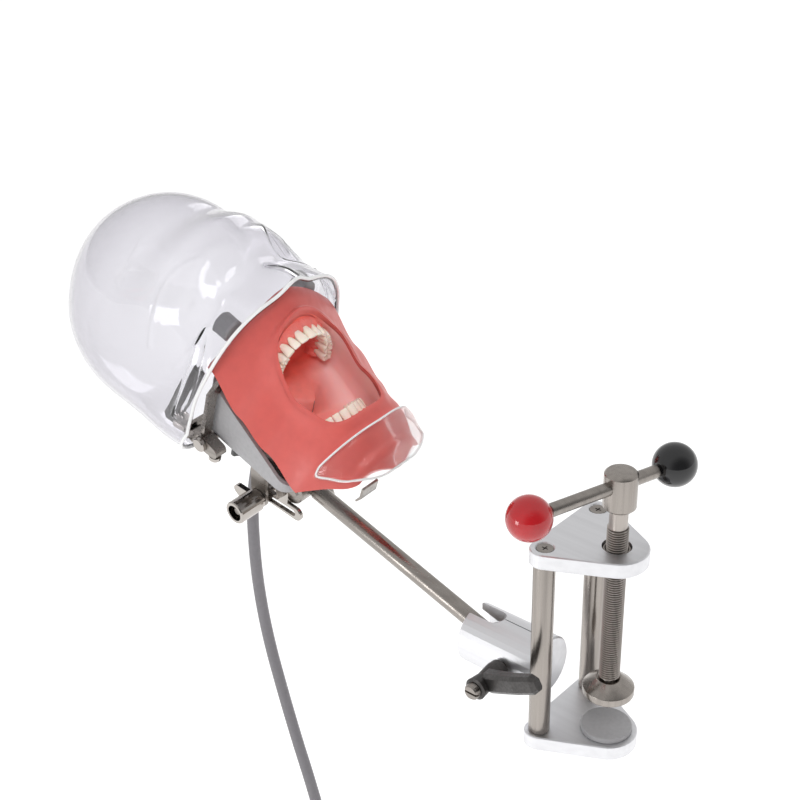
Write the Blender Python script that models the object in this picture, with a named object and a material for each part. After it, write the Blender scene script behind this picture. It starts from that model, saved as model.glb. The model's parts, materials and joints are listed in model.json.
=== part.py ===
"""Dental phantom head with typodont jaws on a ball-jointed arm and a table clamp.

World frame: +X runs along the table edge, +Y points away from the table, +Z up.
The origin is the middle of the fixed jaw's face, which presses on the table from
below. Sizes are written in millimetres and scaled to metres as meshes are made.
"""
import math

import bmesh
import bpy
from mathutils import Matrix, Vector
from mathutils.geometry import convex_hull_2d

for old in list(bpy.data.objects):
    bpy.data.objects.remove(old)

MM = 0.001
GAP = 0.3                      # clearance between pieces that touch

# ---- clamp -------------------------------------------------------------------
TABLE_THICKNESS = 30.0
POST_SPACING = 68.0
POST_OFFSET = 39.0             # posts stand this far outside the spindle
POST_DIAMETER = 16.5
PLATE_THICKNESS = 12.5
TOP_PLATE_Z = 162.0            # upper face of the top plate
JAW_PAD_THICKNESS = 4.0
SPINDLE_DIAMETER = 16.0
CAP_BOTTOM_Z, CAP_TOP_Z = 194.5, 224.5
TOMMY_BAR_Z = 213.5
TOMMY_BAR_ANGLE = -17.0        # of the bar from +X at rest
BALL_KNOB_DIAMETER = 33.0
RED_KNOB_DISTANCE, BLACK_KNOB_DISTANCE = 80.0, 50.0
# ---- ball joint and arm ------------------------------------------------------
ARM_X = -14.0                  # the arm's plane, off the middle towards one post
HOUSING_Z = 40.3
HOUSING_BACK_Y, HOUSING_FRONT_Y = 45.0, 117.0
HOUSING_RADIUS = 24.5
BALL_Y = 93.0
BALL_RADIUS = 16.0
CLAMP_SCREW_Y = 72.0
ARM_RISE = 18.5                # degrees above the table
ARM_SWING = 0.0
ARM_TWIST = -6.0
ROD_DIAMETER = 14.4
DRUM_AT = 222.0                # along the rod from the ball
DRUM_RADIUS = 15.0
# ---- neck and head, in the arm's frame ---------------------------------------
TILT_AT = Vector((0.0, 245.7, -25.0))
JAW_HINGE_AT = Vector((0.0, 276.0, 46.6))
HEAD_TILT = 3.5                # the head's long axis from the rod
JAW_OPENING = 31.0


# ---- frames -------------------------------------------------------------------
def frame(name, place, turn, parent=None):
    """An empty that carries the pieces of one moving assembly."""
    empty = bpy.data.objects.new(name, None)
    bpy.context.collection.objects.link(empty)
    empty.parent = parent
    empty.matrix_local = Matrix.Translation(Vector(place) * MM) @ turn
    return empty


def turned_by(degrees, axis):
    return Matrix.Rotation(math.radians(degrees), 4, axis)


arm_frame = frame(
    "arm_frame", (ARM_X, BALL_Y, HOUSING_Z),
    turned_by(ARM_SWING, "Z") @ turned_by(ARM_RISE, "X") @ turned_by(ARM_TWIST, "Y"))
head_frame = frame("head_frame", JAW_HINGE_AT, turned_by(HEAD_TILT, "X"), arm_frame)
jaw_frame = frame("jaw_frame", (0, 0, 0), turned_by(JAW_OPENING, "X"), head_frame)


# ---- materials ----------------------------------------------------------------
def material(name, colour, roughness, metallic=0.0, clear=False):
    made = bpy.data.materials.new(name)
    made.use_nodes = True
    shader = made.node_tree.nodes["Principled BSDF"]
    shader.inputs["Base Color"].default_value = (*colour, 1.0)
    shader.inputs["Roughness"].default_value = roughness
    shader.inputs["Metallic"].default_value = metallic
    shader.inputs["Transmission Weight"].default_value = 0.9 if clear else 0.0
    return made


SATIN_ALUMINIUM = material("satin_aluminium", (0.78, 0.78, 0.79), 0.38, 1.0)
STAINLESS = material("stainless", (0.62, 0.60, 0.57), 0.22, 1.0)
CHROMED = material("chromed", (0.75, 0.74, 0.72), 0.10, 1.0)
DARK_ZINC = material("dark_zinc", (0.13, 0.12, 0.12), 0.35, 0.6)
GREY_PLASTIC = material("grey_plastic", (0.36, 0.35, 0.36), 0.5)
BLACK_PLASTIC = material("black_plastic", (0.015, 0.014, 0.015), 0.2)
RED_PLASTIC = material("red_plastic", (0.55, 0.01, 0.02), 0.15)
CORAL_RUBBER = material("coral_rubber", (0.78, 0.17, 0.15), 0.45)
GUM_RUBBER = material("gum_rubber", (0.75, 0.13, 0.12), 0.4)
IVORY = material("ivory", (0.88, 0.80, 0.66), 0.25)
CLEAR_PLASTIC = material("clear_plastic", (0.93, 0.93, 0.96), 0.05, 0.0, True)
GREY_HOSE = material("grey_hose", (0.28, 0.27, 0.28), 0.5)
BRONZE = material("bronze", (0.60, 0.42, 0.20), 0.35, 1.0)


# ---- mesh helpers ---------------------------------------------------------------
def finish_object(name, mesh_data, look, parent=None, smooth_angle=35.0):
    """Turn a bmesh drawn in millimetres into a named object in metres."""
    bmesh.ops.remove_doubles(mesh_data, verts=mesh_data.verts, dist=1e-4)
    bmesh.ops.recalc_face_normals(mesh_data, faces=mesh_data.faces)
    bmesh.ops.scale(mesh_data, vec=(MM, MM, MM), verts=mesh_data.verts)
    mesh = bpy.data.meshes.new(name)
    mesh_data.to_mesh(mesh)
    mesh_data.free()
    mesh.materials.append(look)
    mesh.shade_smooth()
    mesh.set_sharp_from_angle(angle=math.radians(smooth_angle))
    made = bpy.data.objects.new(name, mesh)
    bpy.context.collection.objects.link(made)
    made.parent = parent
    return made


def aligned(axis):
    """Rotation that takes local Z to a given direction."""
    return Vector((0, 0, 1)).rotation_difference(Vector(axis).normalized()).to_matrix().to_4x4()


def turned_mesh(profile, at=(0, 0, 0), axis=(0, 0, 1), segments=24, hollow=False):
    """Surface of revolution. The profile is (radius, height) pairs; hollow closes it on itself."""
    drawn = bmesh.new()
    place = Matrix.Translation(Vector(at)) @ aligned(axis)
    rings = []
    for radius, height in profile:
        if radius < 1e-6:
            rings.append([drawn.verts.new(place @ Vector((0, 0, height)))])
            continue
        rings.append([
            drawn.verts.new(place @ Vector((radius * math.cos(math.tau * k / segments),
                                            radius * math.sin(math.tau * k / segments), height)))
            for k in range(segments)])
    pairs = list(zip(rings, rings[1:]))
    if hollow:
        pairs.append((rings[-1], rings[0]))
    for low, high in pairs:
        for k in range(segments):
            after = (k + 1) % segments
            corners = [low[k % len(low)], low[after % len(low)],
                       high[after % len(high)], high[k % len(high)]]
            unique = list(dict.fromkeys(corners))
            if len(unique) > 2:
                drawn.faces.new(unique)
    if not hollow:
        for ring in (rings[0], rings[-1]):
            if len(ring) > 1:
                drawn.faces.new(ring)
    return drawn


def turned(name, profile, look, at=(0, 0, 0), axis=(0, 0, 1), parent=None, segments=24,
           hollow=False):
    return finish_object(name, turned_mesh(profile, at, axis, segments, hollow), look, parent)


def hull_of_discs(discs, step=15.0):
    """Outline around discs given as (a, b, radius), as a belt would lie."""
    points = []
    for centre_a, centre_b, radius in discs:
        for k in range(int(360.0 / step)):
            angle = math.radians(k * step)
            points.append(Vector((centre_a + radius * math.cos(angle),
                                  centre_b + radius * math.sin(angle))))
    return [points[index] for index in convex_hull_2d(points)]


PLANES = {"XY": lambda a, b, c: (a, b, c), "YZ": lambda a, b, c: (c, a, b),
          "XZ": lambda a, b, c: (a, c, b)}


def prism_mesh(outline, low, high, plane="XY"):
    """Outline in one plane, extruded from low to high along the third axis."""
    drawn = bmesh.new()
    base = [drawn.verts.new(PLANES[plane](a, b, low)) for a, b in outline]
    drawn.faces.new(base)
    grown = bmesh.ops.extrude_face_region(drawn, geom=drawn.faces[:])
    moved = [item for item in grown["geom"] if isinstance(item, bmesh.types.BMVert)]
    bmesh.ops.translate(drawn, verts=moved, vec=Vector(PLANES[plane](0, 0, high - low)))
    return drawn


def prism(name, outline, low, high, look, plane="XY", parent=None, edge=0.0):
    made = finish_object(name, prism_mesh(outline, low, high, plane), look, parent)
    if edge > 0:
        soften(made, edge)
    return made


def soften(piece, width, segments=1):
    bevel = piece.modifiers.new("edge", "BEVEL")
    bevel.width = width * MM
    bevel.segments = segments
    bevel.limit_method = "ANGLE"
    bevel.angle_limit = math.radians(50)


def box_outline(low_a, high_a, low_b, high_b):
    return [(low_a, low_b), (high_a, low_b), (high_a, high_b), (low_a, high_b)]


def cut(piece, cutter, operation="DIFFERENCE"):
    cutter.hide_render = True
    cutter.display_type = "WIRE"
    boolean = piece.modifiers.new(operation.lower(), "BOOLEAN")
    boolean.operation = operation
    boolean.object = cutter
    boolean.solver = "EXACT"


def drill(piece, radius, start, end, segments=16):
    """Cut a round hole between two points of the piece's own frame."""
    start, end = Vector(start), Vector(end)
    length = (end - start).length
    cutter = turned(piece.name + "_drill", [(0, 0), (radius, 0), (radius, length), (0, length)],
                    STAINLESS, start, end - start, piece.parent, segments)
    cut(piece, cutter)


def joined(name, meshes, look, parent=None):
    """Union of several closed meshes as one piece."""
    made = finish_object(name, meshes[0], look, parent)
    for number, extra in enumerate(meshes[1:]):
        cut(made, finish_object(f"{name}_add_{number}", extra, look, parent), "UNION")
    return made


# ---- table clamp ----------------------------------------------------------------
def clamp_plate(name, top):
    """Rounded triangular plate: two corners over the posts, a large one over the spindle."""
    half = POST_SPACING / 2
    outline = hull_of_discs([(-half, POST_OFFSET, 11.5), (half, POST_OFFSET, 11.5), (0, 0, 24.0)],
                            12.0)
    plate = prism(name, outline, top - PLATE_THICKNESS, top, SATIN_ALUMINIUM, edge=0.8)
    return plate


def countersunk_screw(name, x, y, z, direction):
    """Cross-slotted flat-head screw that lies flush in the plate at height z."""
    profile = [(0, 0), (6.4, 0), (3.0, 3.4), (3.0, 22.0), (0, 22.0)]
    screw = turned(name, profile, STAINLESS, (x, y, z), (0, 0, -direction), segments=16)
    cross = [(0.5, 0.5), (0.5, 2.6), (-0.5, 2.6), (-0.5, 0.5), (-2.6, 0.5), (-2.6, -0.5),
             (-0.5, -0.5), (-0.5, -2.6), (0.5, -2.6), (0.5, -0.5), (2.6, -0.5), (2.6, 0.5)]
    cut(screw, prism(name + "_cross", [(x + a, y + b) for a, b in cross],
                     z - 1.6, z + 1.6, STAINLESS))


def build_clamp():
    half = POST_SPACING / 2
    lower_top = -JAW_PAD_THICKNESS
    lower_bottom = lower_top - PLATE_THICKNESS
    lower = clamp_plate("clamp_lower_plate", lower_top)
    upper = clamp_plate("clamp_top_plate", TOP_PLATE_Z)
    for plate, face, side in ((upper, TOP_PLATE_Z, 1), (lower, lower_bottom, -1)):
        for x in (-half, half):
            depth = PLATE_THICKNESS + 2
            hole = turned(plate.name + "_hole",
                          [(0, 0), (8.5, 0), (3.0 + GAP, 5.2), (3.0 + GAP, depth), (0, depth)],
                          STAINLESS, (x, POST_OFFSET, face + side), (0, 0, -side), segments=16)
            cut(plate, hole)
    drill(upper, 10.8 + GAP, (0, 0, TOP_PLATE_Z + 1), (0, 0, TOP_PLATE_Z - PLATE_THICKNESS - 1), 28)
    turned("jaw_pad", [(0, 0), (19.0, 0), (20.0, -1), (20.0, GAP - JAW_PAD_THICKNESS),
                       (0, GAP - JAW_PAD_THICKNESS)], GREY_PLASTIC, segments=28)
    for name, x in (("post_near", -half), ("post_far", half)):
        post = turned(name, [(0, lower_top + GAP), (POST_DIAMETER / 2, lower_top + GAP),
                             (POST_DIAMETER / 2, TOP_PLATE_Z - PLATE_THICKNESS - GAP),
                             (0, TOP_PLATE_Z - PLATE_THICKNESS - GAP)],
                      STAINLESS, (x, POST_OFFSET, 0), segments=24)
        for z, side in ((TOP_PLATE_Z - PLATE_THICKNESS, 1), (lower_top, -1)):
            drill(post, 3.0 + GAP, (x, POST_OFFSET, z + side), (x, POST_OFFSET, z - side * 12.0))
        label = name.removeprefix("post_")
        countersunk_screw(f"top_screw_{label}", x, POST_OFFSET, TOP_PLATE_Z - 0.6, 1)
        countersunk_screw(f"bottom_screw_{label}", x, POST_OFFSET, lower_bottom + 0.6, -1)
    turned("threaded_bush", [(10.8, -PLATE_THICKNESS + 0.5), (10.8, -2.5), (9.8, -1.5),
                             (9.0, -1.5), (8.35, -2.5), (8.35, -PLATE_THICKNESS + 0.5)],
           STAINLESS, (0, 0, TOP_PLATE_Z), hollow=True, segments=24)


def build_spindle():
    radius = SPINDLE_DIAMETER / 2
    turned("spindle_screw",
           [(0, 36.0), (4.2, 36.0), (5.6, 38.0), (5.6, 44.0), (radius, 46.0), (radius, 178.5),
            (6.9, 180.0), (6.9, 197.5), (0, 197.5)], STAINLESS, segments=24)
    cap = turned("spindle_cap",
                 [(0, CAP_BOTTOM_Z + 3.3), (6.9 + GAP, CAP_BOTTOM_Z + 3.3),
                  (6.9 + GAP, CAP_BOTTOM_Z), (10.5, CAP_BOTTOM_Z), (12.3, CAP_BOTTOM_Z + 1.8),
                  (12.3, CAP_TOP_Z - 2.0), (10.3, CAP_TOP_Z), (0, CAP_TOP_Z)],
                 STAINLESS, segments=28)
    along = Vector((math.cos(math.radians(TOMMY_BAR_ANGLE)),
                    math.sin(math.radians(TOMMY_BAR_ANGLE)), 0))
    centre = Vector((0, 0, TOMMY_BAR_Z))
    drill(cap, 5.0 + GAP, centre - along * 14, centre + along * 14)
    turned("foot_pad",
           [(0, 35.4), (6.2, 35.4), (6.2, 42.5), (8.2, 44.6), (9.8, 44.6), (19.6, 37.0),
            (19.6, 31.3), (18.6, TABLE_THICKNESS + 0.3), (0, TABLE_THICKNESS + 0.3)],
           STAINLESS, segments=32)
    red_end, black_end = -RED_KNOB_DISTANCE, BLACK_KNOB_DISTANCE
    turned("tommy_bar", [(0, red_end + 6), (3.0, red_end + 6), (3.0, red_end + 15.9),
                         (5.0, red_end + 17.5), (5.0, black_end - 17.5),
                         (3.0, black_end - 15.9),
                         (3.0, black_end - 6), (0, black_end - 6)],
           STAINLESS, centre, along, segments=16)
    ball = BALL_KNOB_DIAMETER / 2
    for name, look, distance, inward in (("ball_knob_red", RED_PLASTIC, red_end, 1),
                                         ("ball_knob_black", BLACK_PLASTIC, black_end, -1)):
        outside = [(ball * math.sin(math.radians(a)), -ball * math.cos(math.radians(a)))
                   for a in range(0, 160, 16)]
        flat = math.sqrt(ball ** 2 - 5.6 ** 2)
        profile = outside + [(5.6, flat), (3.0 + GAP, flat), (3.0 + GAP, 5.0), (0, 5.0)]
        turned(name, profile, look, centre + along * distance, along * inward, segments=28)


# ---- ball-joint housing, brake and lever -------------------------------------------
def build_housing():
    middle = HOUSING_Z
    front = HOUSING_FRONT_Y - HOUSING_BACK_Y
    seat = BALL_Y - HOUSING_BACK_Y
    bore = BALL_RADIUS + GAP
    profile = [(0, 0), (HOUSING_RADIUS - 1.2, 0), (HOUSING_RADIUS, 1.2),
               (HOUSING_RADIUS, front - 1.0), (HOUSING_RADIUS - 1.0, front),
               (bore + 2.2, front), (bore - 1.6, seat + 9.0), (bore, seat + 5.0),
               (bore, 12.0), (0, 12.0)]
    housing = turned("ball_joint_housing", profile, SATIN_ALUMINIUM,
                     (ARM_X, HOUSING_BACK_Y, middle), (0, 1, 0), segments=32)
    groove = turned("housing_groove", [(0, 0), (POST_DIAMETER / 2 + GAP, 0),
                                       (POST_DIAMETER / 2 + GAP, 80), (0, 80)],
                    STAINLESS, (-POST_SPACING / 2, POST_OFFSET, 0), segments=24)
    cut(housing, groove)
    notch = 8.6
    slot_outline = [(ARM_X + notch * math.cos(math.radians(a)),
                     BALL_Y + 4.0 + notch * math.sin(math.radians(a)))
                    for a in range(180, 361, 15)]
    slot_outline += [(ARM_X + notch, HOUSING_FRONT_Y + 5), (ARM_X - notch, HOUSING_FRONT_Y + 5)]
    cut(housing, prism("housing_notch", slot_outline, middle + 4, middle + 30, STAINLESS))
    cut(housing, prism("housing_slit", box_outline(ARM_X - 0.4, ARM_X + 0.4,
                                                   HOUSING_BACK_Y + 6, BALL_Y),
                       middle + 12, middle + 30, STAINLESS))
    drill(housing, 5.0 + GAP, (ARM_X - HOUSING_RADIUS - 2, CLAMP_SCREW_Y, middle),
          (ARM_X - 10, CLAMP_SCREW_Y, middle))
    shoe = turned("brake_shoe",
                  [(0, 0), (11.0, 0), (15.0, 3.0), (15.0, 13.5)]
                  + [((BALL_RADIUS + GAP) * math.sin(math.radians(a)),
                      BALL_Y - 65.0 - (BALL_RADIUS + GAP) * math.cos(math.radians(a)))
                     for a in (54, 40, 26, 13)]
                  + [(0, BALL_Y - 65.0 - BALL_RADIUS - GAP)],
                  BRONZE, (ARM_X, 65.0, middle), (0, 1, 0), segments=24)
    drill(shoe, 5.0 + GAP, (ARM_X - 20, CLAMP_SCREW_Y, middle),
          (ARM_X - 8.5, CLAMP_SCREW_Y, middle))


def build_lever():
    """Adjustable clamping lever on a stud that presses the brake shoe."""
    middle = Vector((ARM_X, CLAMP_SCREW_Y, HOUSING_Z))
    out = (-1, 0, 0)
    turned("clamping_stud", [(0, 9.5), (3.4, 9.5), (5.0, 12.0), (5.0, 44.0), (3.6, 45.0),
                             (3.6, 57.0), (0, 57.0)],
           STAINLESS, middle, out, segments=16)
    hub_from = 27.5
    hub = turned_mesh([(5.0 + GAP, hub_from), (8.8, hub_from), (9.2, hub_from + 6),
                       (7.8, hub_from + 19), (9.0, hub_from + 30), (7.0, hub_from + 31.0),
                       (5.0 + GAP, hub_from + 31.0)], middle, out, 28, True)
    grip_angle = math.radians(150)
    along = Vector((0, math.cos(grip_angle), math.sin(grip_angle)))
    across = Vector((0, -along.z, along.y))
    grip = bmesh.new()
    rings = []
    for reach, lean, width, thick in ((6.0, 22.0, 8.6, 6.5), (20.0, 25.5, 8.2, 6.0),
                                      (40.0, 30.0, 7.6, 5.4), (60.0, 32.5, 7.2, 4.8),
                                      (65.0, 33.0, 5.0, 3.2)):
        centre = middle + along * reach + Vector((-hub_from - lean + 4.0, 0, 0))
        ring = []
        for side, up in ((-1, -0.55), (-0.62, -1), (0.62, -1), (1, -0.55),
                         (1, 0.55), (0.62, 1), (-0.62, 1), (-1, 0.55)):
            ring.append(grip.verts.new(centre + across * side * width + Vector((up * thick, 0, 0))))
        rings.append(ring)
    for low, high in zip(rings, rings[1:]):
        for k in range(8):
            after = (k + 1) % 8
            grip.faces.new((low[k], low[after], high[after], high[k]))
    grip.faces.new(rings[0])
    grip.faces.new(rings[-1])
    lever = joined("clamping_lever", [hub, grip], DARK_ZINC)
    drill(lever, 5.0 + GAP, middle + Vector((-hub_from + 1, 0, 0)),
          middle + Vector((-hub_from - 33, 0, 0)))
    screw = turned("lever_screw", [(3.6 + GAP, 47.0), (4.7, 47.0), (4.7, 58.9), (6.4, 58.9),
                                   (6.4, 62.6), (5.2, 64.0), (0, 64.0), (0, 57.6),
                                   (3.6 + GAP, 57.6)],
                   STAINLESS, middle, out, segments=24, hollow=True)
    slot = prism("lever_screw_slot", box_outline(CLAMP_SCREW_Y - 8, CLAMP_SCREW_Y + 8,
                                                 HOUSING_Z - 0.9, HOUSING_Z + 0.9),
                 ARM_X - 65.0, ARM_X - 61.6, STAINLESS, "YZ")
    cut(screw, slot)


# ---- arm, in the arm's own frame: Y along the rod -----------------------------------
def build_arm():
    radius = ROD_DIAMETER / 2
    ball_profile = [(BALL_RADIUS * math.sin(math.radians(a)), -BALL_RADIUS * math.cos(math.radians(a)))
                    for a in range(0, 151, 15)]
    flat = BALL_RADIUS * math.cos(math.radians(30))
    turned("arm_ball", ball_profile + [(4.0 + GAP, flat), (4.0 + GAP, 4.0), (0, 4.0)],
           STAINLESS, (0, 0, 0), (0, 1, 0), arm_frame, 24)
    end = DRUM_AT - DRUM_RADIUS + 7.0
    turned("arm_rod", [(0, 4.5), (4.0, 4.5), (4.0, flat + GAP), (6.0, flat + GAP),
                       (radius, flat + 1.6), (radius, end - 9.0), (6.0, end - 8.0), (6.0, end),
                       (0, end)],
           STAINLESS, (0, 0, 0), (0, 1, 0), arm_frame, 28)
    drum = turned("rod_end_drum", [(0, -17.0), (DRUM_RADIUS - 1, -17.0), (DRUM_RADIUS, -16.0),
                                   (DRUM_RADIUS, 16.0), (DRUM_RADIUS - 1, 17.0), (0, 17.0)],
                  STAINLESS, (0, DRUM_AT, 0), (1, 0, 0), arm_frame, 36)
    drill(drum, 6.0 + GAP, (0, DRUM_AT - 20, 0), (0, end + GAP, 0))
    drill(drum, 2.5 + GAP, (-20, DRUM_AT + 4, -4), (20, DRUM_AT + 4, -4))
    tilt = TILT_AT
    for name, side in (("slotted_link_near", -1), ("slotted_link_far", 1)):
        low, high = sorted((side * (17.0 + GAP), side * 21.0))
        outline = hull_of_discs([(tilt.y + 3.0, tilt.z + 1.0, 6.6), (DRUM_AT - 14, -17.5, 6.6)])
        link = prism(name, outline, low, high, CHROMED, "YZ", arm_frame, 0.5)
        tab = prism(name + "_tab", hull_of_discs([(DRUM_AT + 4, -4, 7.5), (DRUM_AT + 2, -16, 6.0)]),
                    low, high, CHROMED, "YZ", arm_frame)
        cut(link, tab, "UNION")
        slot = prism(name + "_slot", hull_of_discs([(tilt.y, tilt.z, 3.3),
                                                    (DRUM_AT - 11, -18.0, 3.3)]),
                     low - 1, high + 1, CHROMED, "YZ", arm_frame)
        cut(link, slot)
        drill(link, 2.5 + GAP, (low - 1, DRUM_AT + 4, -4), (high + 1, DRUM_AT + 4, -4))
    turned("link_pin", [(0, -23.4), (4.4, -23.4), (4.4, -21.3), (2.5, -21.3), (2.5, 21.3),
                        (4.4, 21.3), (4.4, 23.4), (0, 23.4)],
           STAINLESS, (0, DRUM_AT + 4, -4), (1, 0, 0), arm_frame, 16)


# ---- neck, in the head's frame: X left, Y to the crown, Z to the face ---------------
HEAD_FROM_ARM = Matrix.Rotation(math.radians(-HEAD_TILT), 3, "X")
TILT_IN_HEAD = HEAD_FROM_ARM @ (TILT_AT - JAW_HINGE_AT)
CHEEK_IN, CHEEK_OUT = 23.9, 26.9
BLOCK_IN, BLOCK_OUT = 60.0, 71.0
STAR_AT = Vector((-11.0, 5.0, -37.0))
SPOUT_AT = Vector((12.0, 5.0, 3.0))


def build_neck():
    pivot = TILT_IN_HEAD
    tilt_z = pivot.z
    parts = []
    for side in (-1, 1):
        low, high = sorted((side * CHEEK_IN, side * CHEEK_OUT))
        parts.append(prism_mesh(
            [(19.0, -8.0), (19.0, -37.0), (-8.0, -37.0), (-70.0, -33.0), (-73.0, -29.5),
             (-70.0, -26.0), (-40.0, -26.0), (-6.0, -14.0)], low, high, "YZ"))
        parts.append(prism_mesh(hull_of_discs([(pivot.y + 8, -33.0, 9.0),
                                               (pivot.y, tilt_z, 9.0)]), low, high, "YZ"))
    web = prism_mesh(box_outline(-CHEEK_OUT, CHEEK_OUT, -8.0, 19.0), -37.0, -34.0, "XY")
    crossbar = prism_mesh([(-70.0, 6.0), (-70.0, -10.0), (-30.0, -37.0), (30.0, -37.0),
                           (70.0, -10.0), (70.0, 6.0), (52.0, 6.0), (20.0, -20.0),
                           (-20.0, -20.0), (-52.0, 6.0)], 17.0, 20.0, "XZ")
    yoke = joined("neck_yoke", [web, *parts, crossbar], STAINLESS, head_frame)
    for side in (-1, 1):
        drill(yoke, 3.0 + GAP, (side * 20, pivot.y, tilt_z), (side * 30, pivot.y, tilt_z))
        drill(yoke, 2.5 + GAP, (side * 65.5, 15, -1.5), (side * 65.5, 22, -1.5), 16)
    drill(yoke, 7.0 + GAP, (SPOUT_AT.x, SPOUT_AT.y, -30), (SPOUT_AT.x, SPOUT_AT.y, -40))
    drill(yoke, 3.0 + GAP, (STAR_AT.x, STAR_AT.y, -30), (STAR_AT.x, STAR_AT.y, -40))
    turned("tilt_bolt", [(0, -52.0), (3.0, -52.0), (3.0, 27.3), (5.8, 27.3), (5.8, 31.5),
                         (0, 31.5)],
           STAINLESS, pivot, (1, 0, 0), head_frame, 20)
    turned("neck_spacer", [(3.0 + GAP, -17.0), (7.0, -17.0), (7.0, 17.0), (3.0 + GAP, 17.0)],
           CHROMED, pivot, (1, 0, 0), head_frame, 24, hollow=True)
    sleeve = turned_mesh([(3.0 + GAP, 27.3), (9.0, 27.3), (9.0, 30.0), (10.5, 31.0),
                          (10.5, 54.0), (9.8, 55.0), (7.4, 55.0), (7.4, 40.0),
                          (3.0 + GAP, 40.0)], pivot, (-1, 0, 0), 32, True)
    wing = prism_mesh(hull_of_discs([(pivot.y, tilt_z, 9.5), (pivot.y + 17, tilt_z + 1.0, 4.5)]),
                      pivot.x - 36.0, pivot.x - 31.5, "YZ")
    locking = joined("locking_sleeve", [sleeve, wing], CHROMED, head_frame)
    drill(locking, 3.5, pivot + Vector((-27, 0, 0)), pivot + Vector((-42, 0, 0)), 20)
    lobes = [((12.0 + 2.4 * math.cos(math.radians(6 * a))) * math.cos(math.radians(a)),
              (12.0 + 2.4 * math.cos(math.radians(6 * a))) * math.sin(math.radians(a)))
             for a in range(0, 360, 10)]
    knob = prism("star_knob", [(STAR_AT.x + a, STAR_AT.y + b) for a, b in lobes],
                 STAR_AT.z - 17.0, STAR_AT.z - 4.0, BLACK_PLASTIC, "XY", head_frame, 1.5)
    cut(knob, turned("star_knob_boss", [(0, 0), (6.0, 0), (6.0, 6.0), (0, 6.0)], BLACK_PLASTIC,
                     STAR_AT + Vector((0, 0, -6.3)), (0, 0, 1), head_frame, 20), "UNION")
    cut(knob, turned("star_knob_stud", [(0, -11.5), (3.0, -11.5), (3.0, 14.0), (0, 14.0)],
                     STAINLESS, STAR_AT, (0, 0, 1), head_frame, 16), "UNION")


# ---- hinge blocks and jaw frames ------------------------------------------------------
def build_hinges():
    for label, side in (("near", -1), ("far", 1)):
        low, high = sorted((side * BLOCK_IN, side * BLOCK_OUT))
        block = prism(f"hinge_block_{label}",
                      hull_of_discs([(11.0, -1.5, 5.9), (0, 0, 6.9), (-13.0, 0, 5.3)]),
                      low, high, STAINLESS, "YZ", head_frame)
        drill(block, 2.5 + GAP, (side * 65.5, 19, -1.5), (side * 65.5, 6.0, -1.5), 16)
        drill(block, 3.0 + GAP, (side * 50, 0, 0), (side * 80, 0, 0))
        turned(f"hinge_pin_{label}",
               [(0, 45.2), (3.0, 45.2), (3.0, 71.3), (6.4, 71.3), (6.4, 74.0), (5.4, 75.0),
                (0, 75.0)], CHROMED, (0, 0, 0), (side, 0, 0), head_frame, 24)
        drill(block, 2.0 + GAP, (side * 65.5, -12, 2.5), (side * 65.5, -12, -10))
        turned(f"block_screw_{label}", [(0, -1.8), (2.0, -1.8), (2.0, 6.9), (5.2, 6.9),
                                        (5.2, 10.6), (4.2, 11.6), (0, 11.6)],
               CHROMED, (side * 65.5, -12, 0), (0, 0, -1), head_frame, 20)
        turned(f"bar_post_{label}",
               [(0, 6.6), (2.5, 6.6), (2.5, 20.4), (5.4, 20.4), (7.6, 29.0), (7.6, 31.5),
                (0, 31.5)], CHROMED, (side * 65.5, 0, -1.5), (0, 1, 0), head_frame, 24)
        bar_low, bar_high = sorted((side * 62.0, side * 66.0))
        prism(f"shell_bar_{label}",
              [(32.4, -10.0), (47.0, -14.0), (50.0, -8.0), (38.0, 28.0), (24.0, 68.0),
               (14.0, 66.0), (32.4, 8.0)],
              bar_low, bar_high, DARK_ZINC, "YZ", head_frame, 0.6)


def mirrored(half_outline):
    """Full outline from its positive half, listed from the middle of the front outwards."""
    return half_outline + [(-a, b) for a, b in reversed(half_outline)]


def build_jaw_frames():
    """Flat plates the arches screw to: the upper one fixed, the lower one on two arms."""
    finish_object("upper_jaw_frame", prism_mesh(mirrored(
        [(14, 101), (38, 88), (69, 54), (69, 7.2), (60.5, 7.2), (60.5, 50), (32, 76), (14, 80)]),
        0.5, 4.5, "XZ"), STAINLESS, head_frame)
    arms = []
    for side in (-1, 1):
        low, high = sorted((side * 46.0, side * 50.0))
        arms.append(prism_mesh([(7, 0), (5, 5), (0, 7.5), (-14, 20), (-52, 60), (-58, 58),
                                (-58, 48), (-22, 12), (-7, -3), (-4, -6), (0, -7), (5, -5)],
                               low, high, "YZ"))
    plate = prism_mesh(mirrored([(14, 101), (30, 94), (50, 70), (50, 52), (38, 52), (36, 62),
                                 (22, 76), (8, 80)]), -60.0, -56.5, "XZ")
    lower = joined("lower_jaw_frame", [plate, *arms], STAINLESS, jaw_frame)
    for side in (-1, 1):
        drill(lower, 3.0 + GAP, (side * 44, 0, 0), (side * 52, 0, 0))


# ---- gums and teeth -----------------------------------------------------------------
# Each tooth from the middle of the front: its width along the arch and its depth.
TEETH = (("central", 8.6, 7.2), ("lateral", 6.8, 6.6), ("canine", 7.8, 8.0),
         ("premolar", 7.2, 9.2), ("premolar", 7.0, 9.2), ("molar", 10.4, 11.0),
         ("molar", 9.8, 10.6))


def arch_point(turn, half_width, depth, front):
    """Point and outward direction on a U-shaped arch; turn runs from 0 in front to 1 at the end."""
    angle = turn * math.radians(100)
    x = half_width * math.sin(angle) ** 0.8 if angle > 0 else 0.0
    z = front - depth * (1 - math.cos(angle) ** 1.0) / (1 - math.cos(math.radians(100)))
    return x, z


def arch_curve(half_width, depth, front, steps=60):
    return [arch_point(k / steps, half_width, depth, front) for k in range(steps + 1)]


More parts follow.
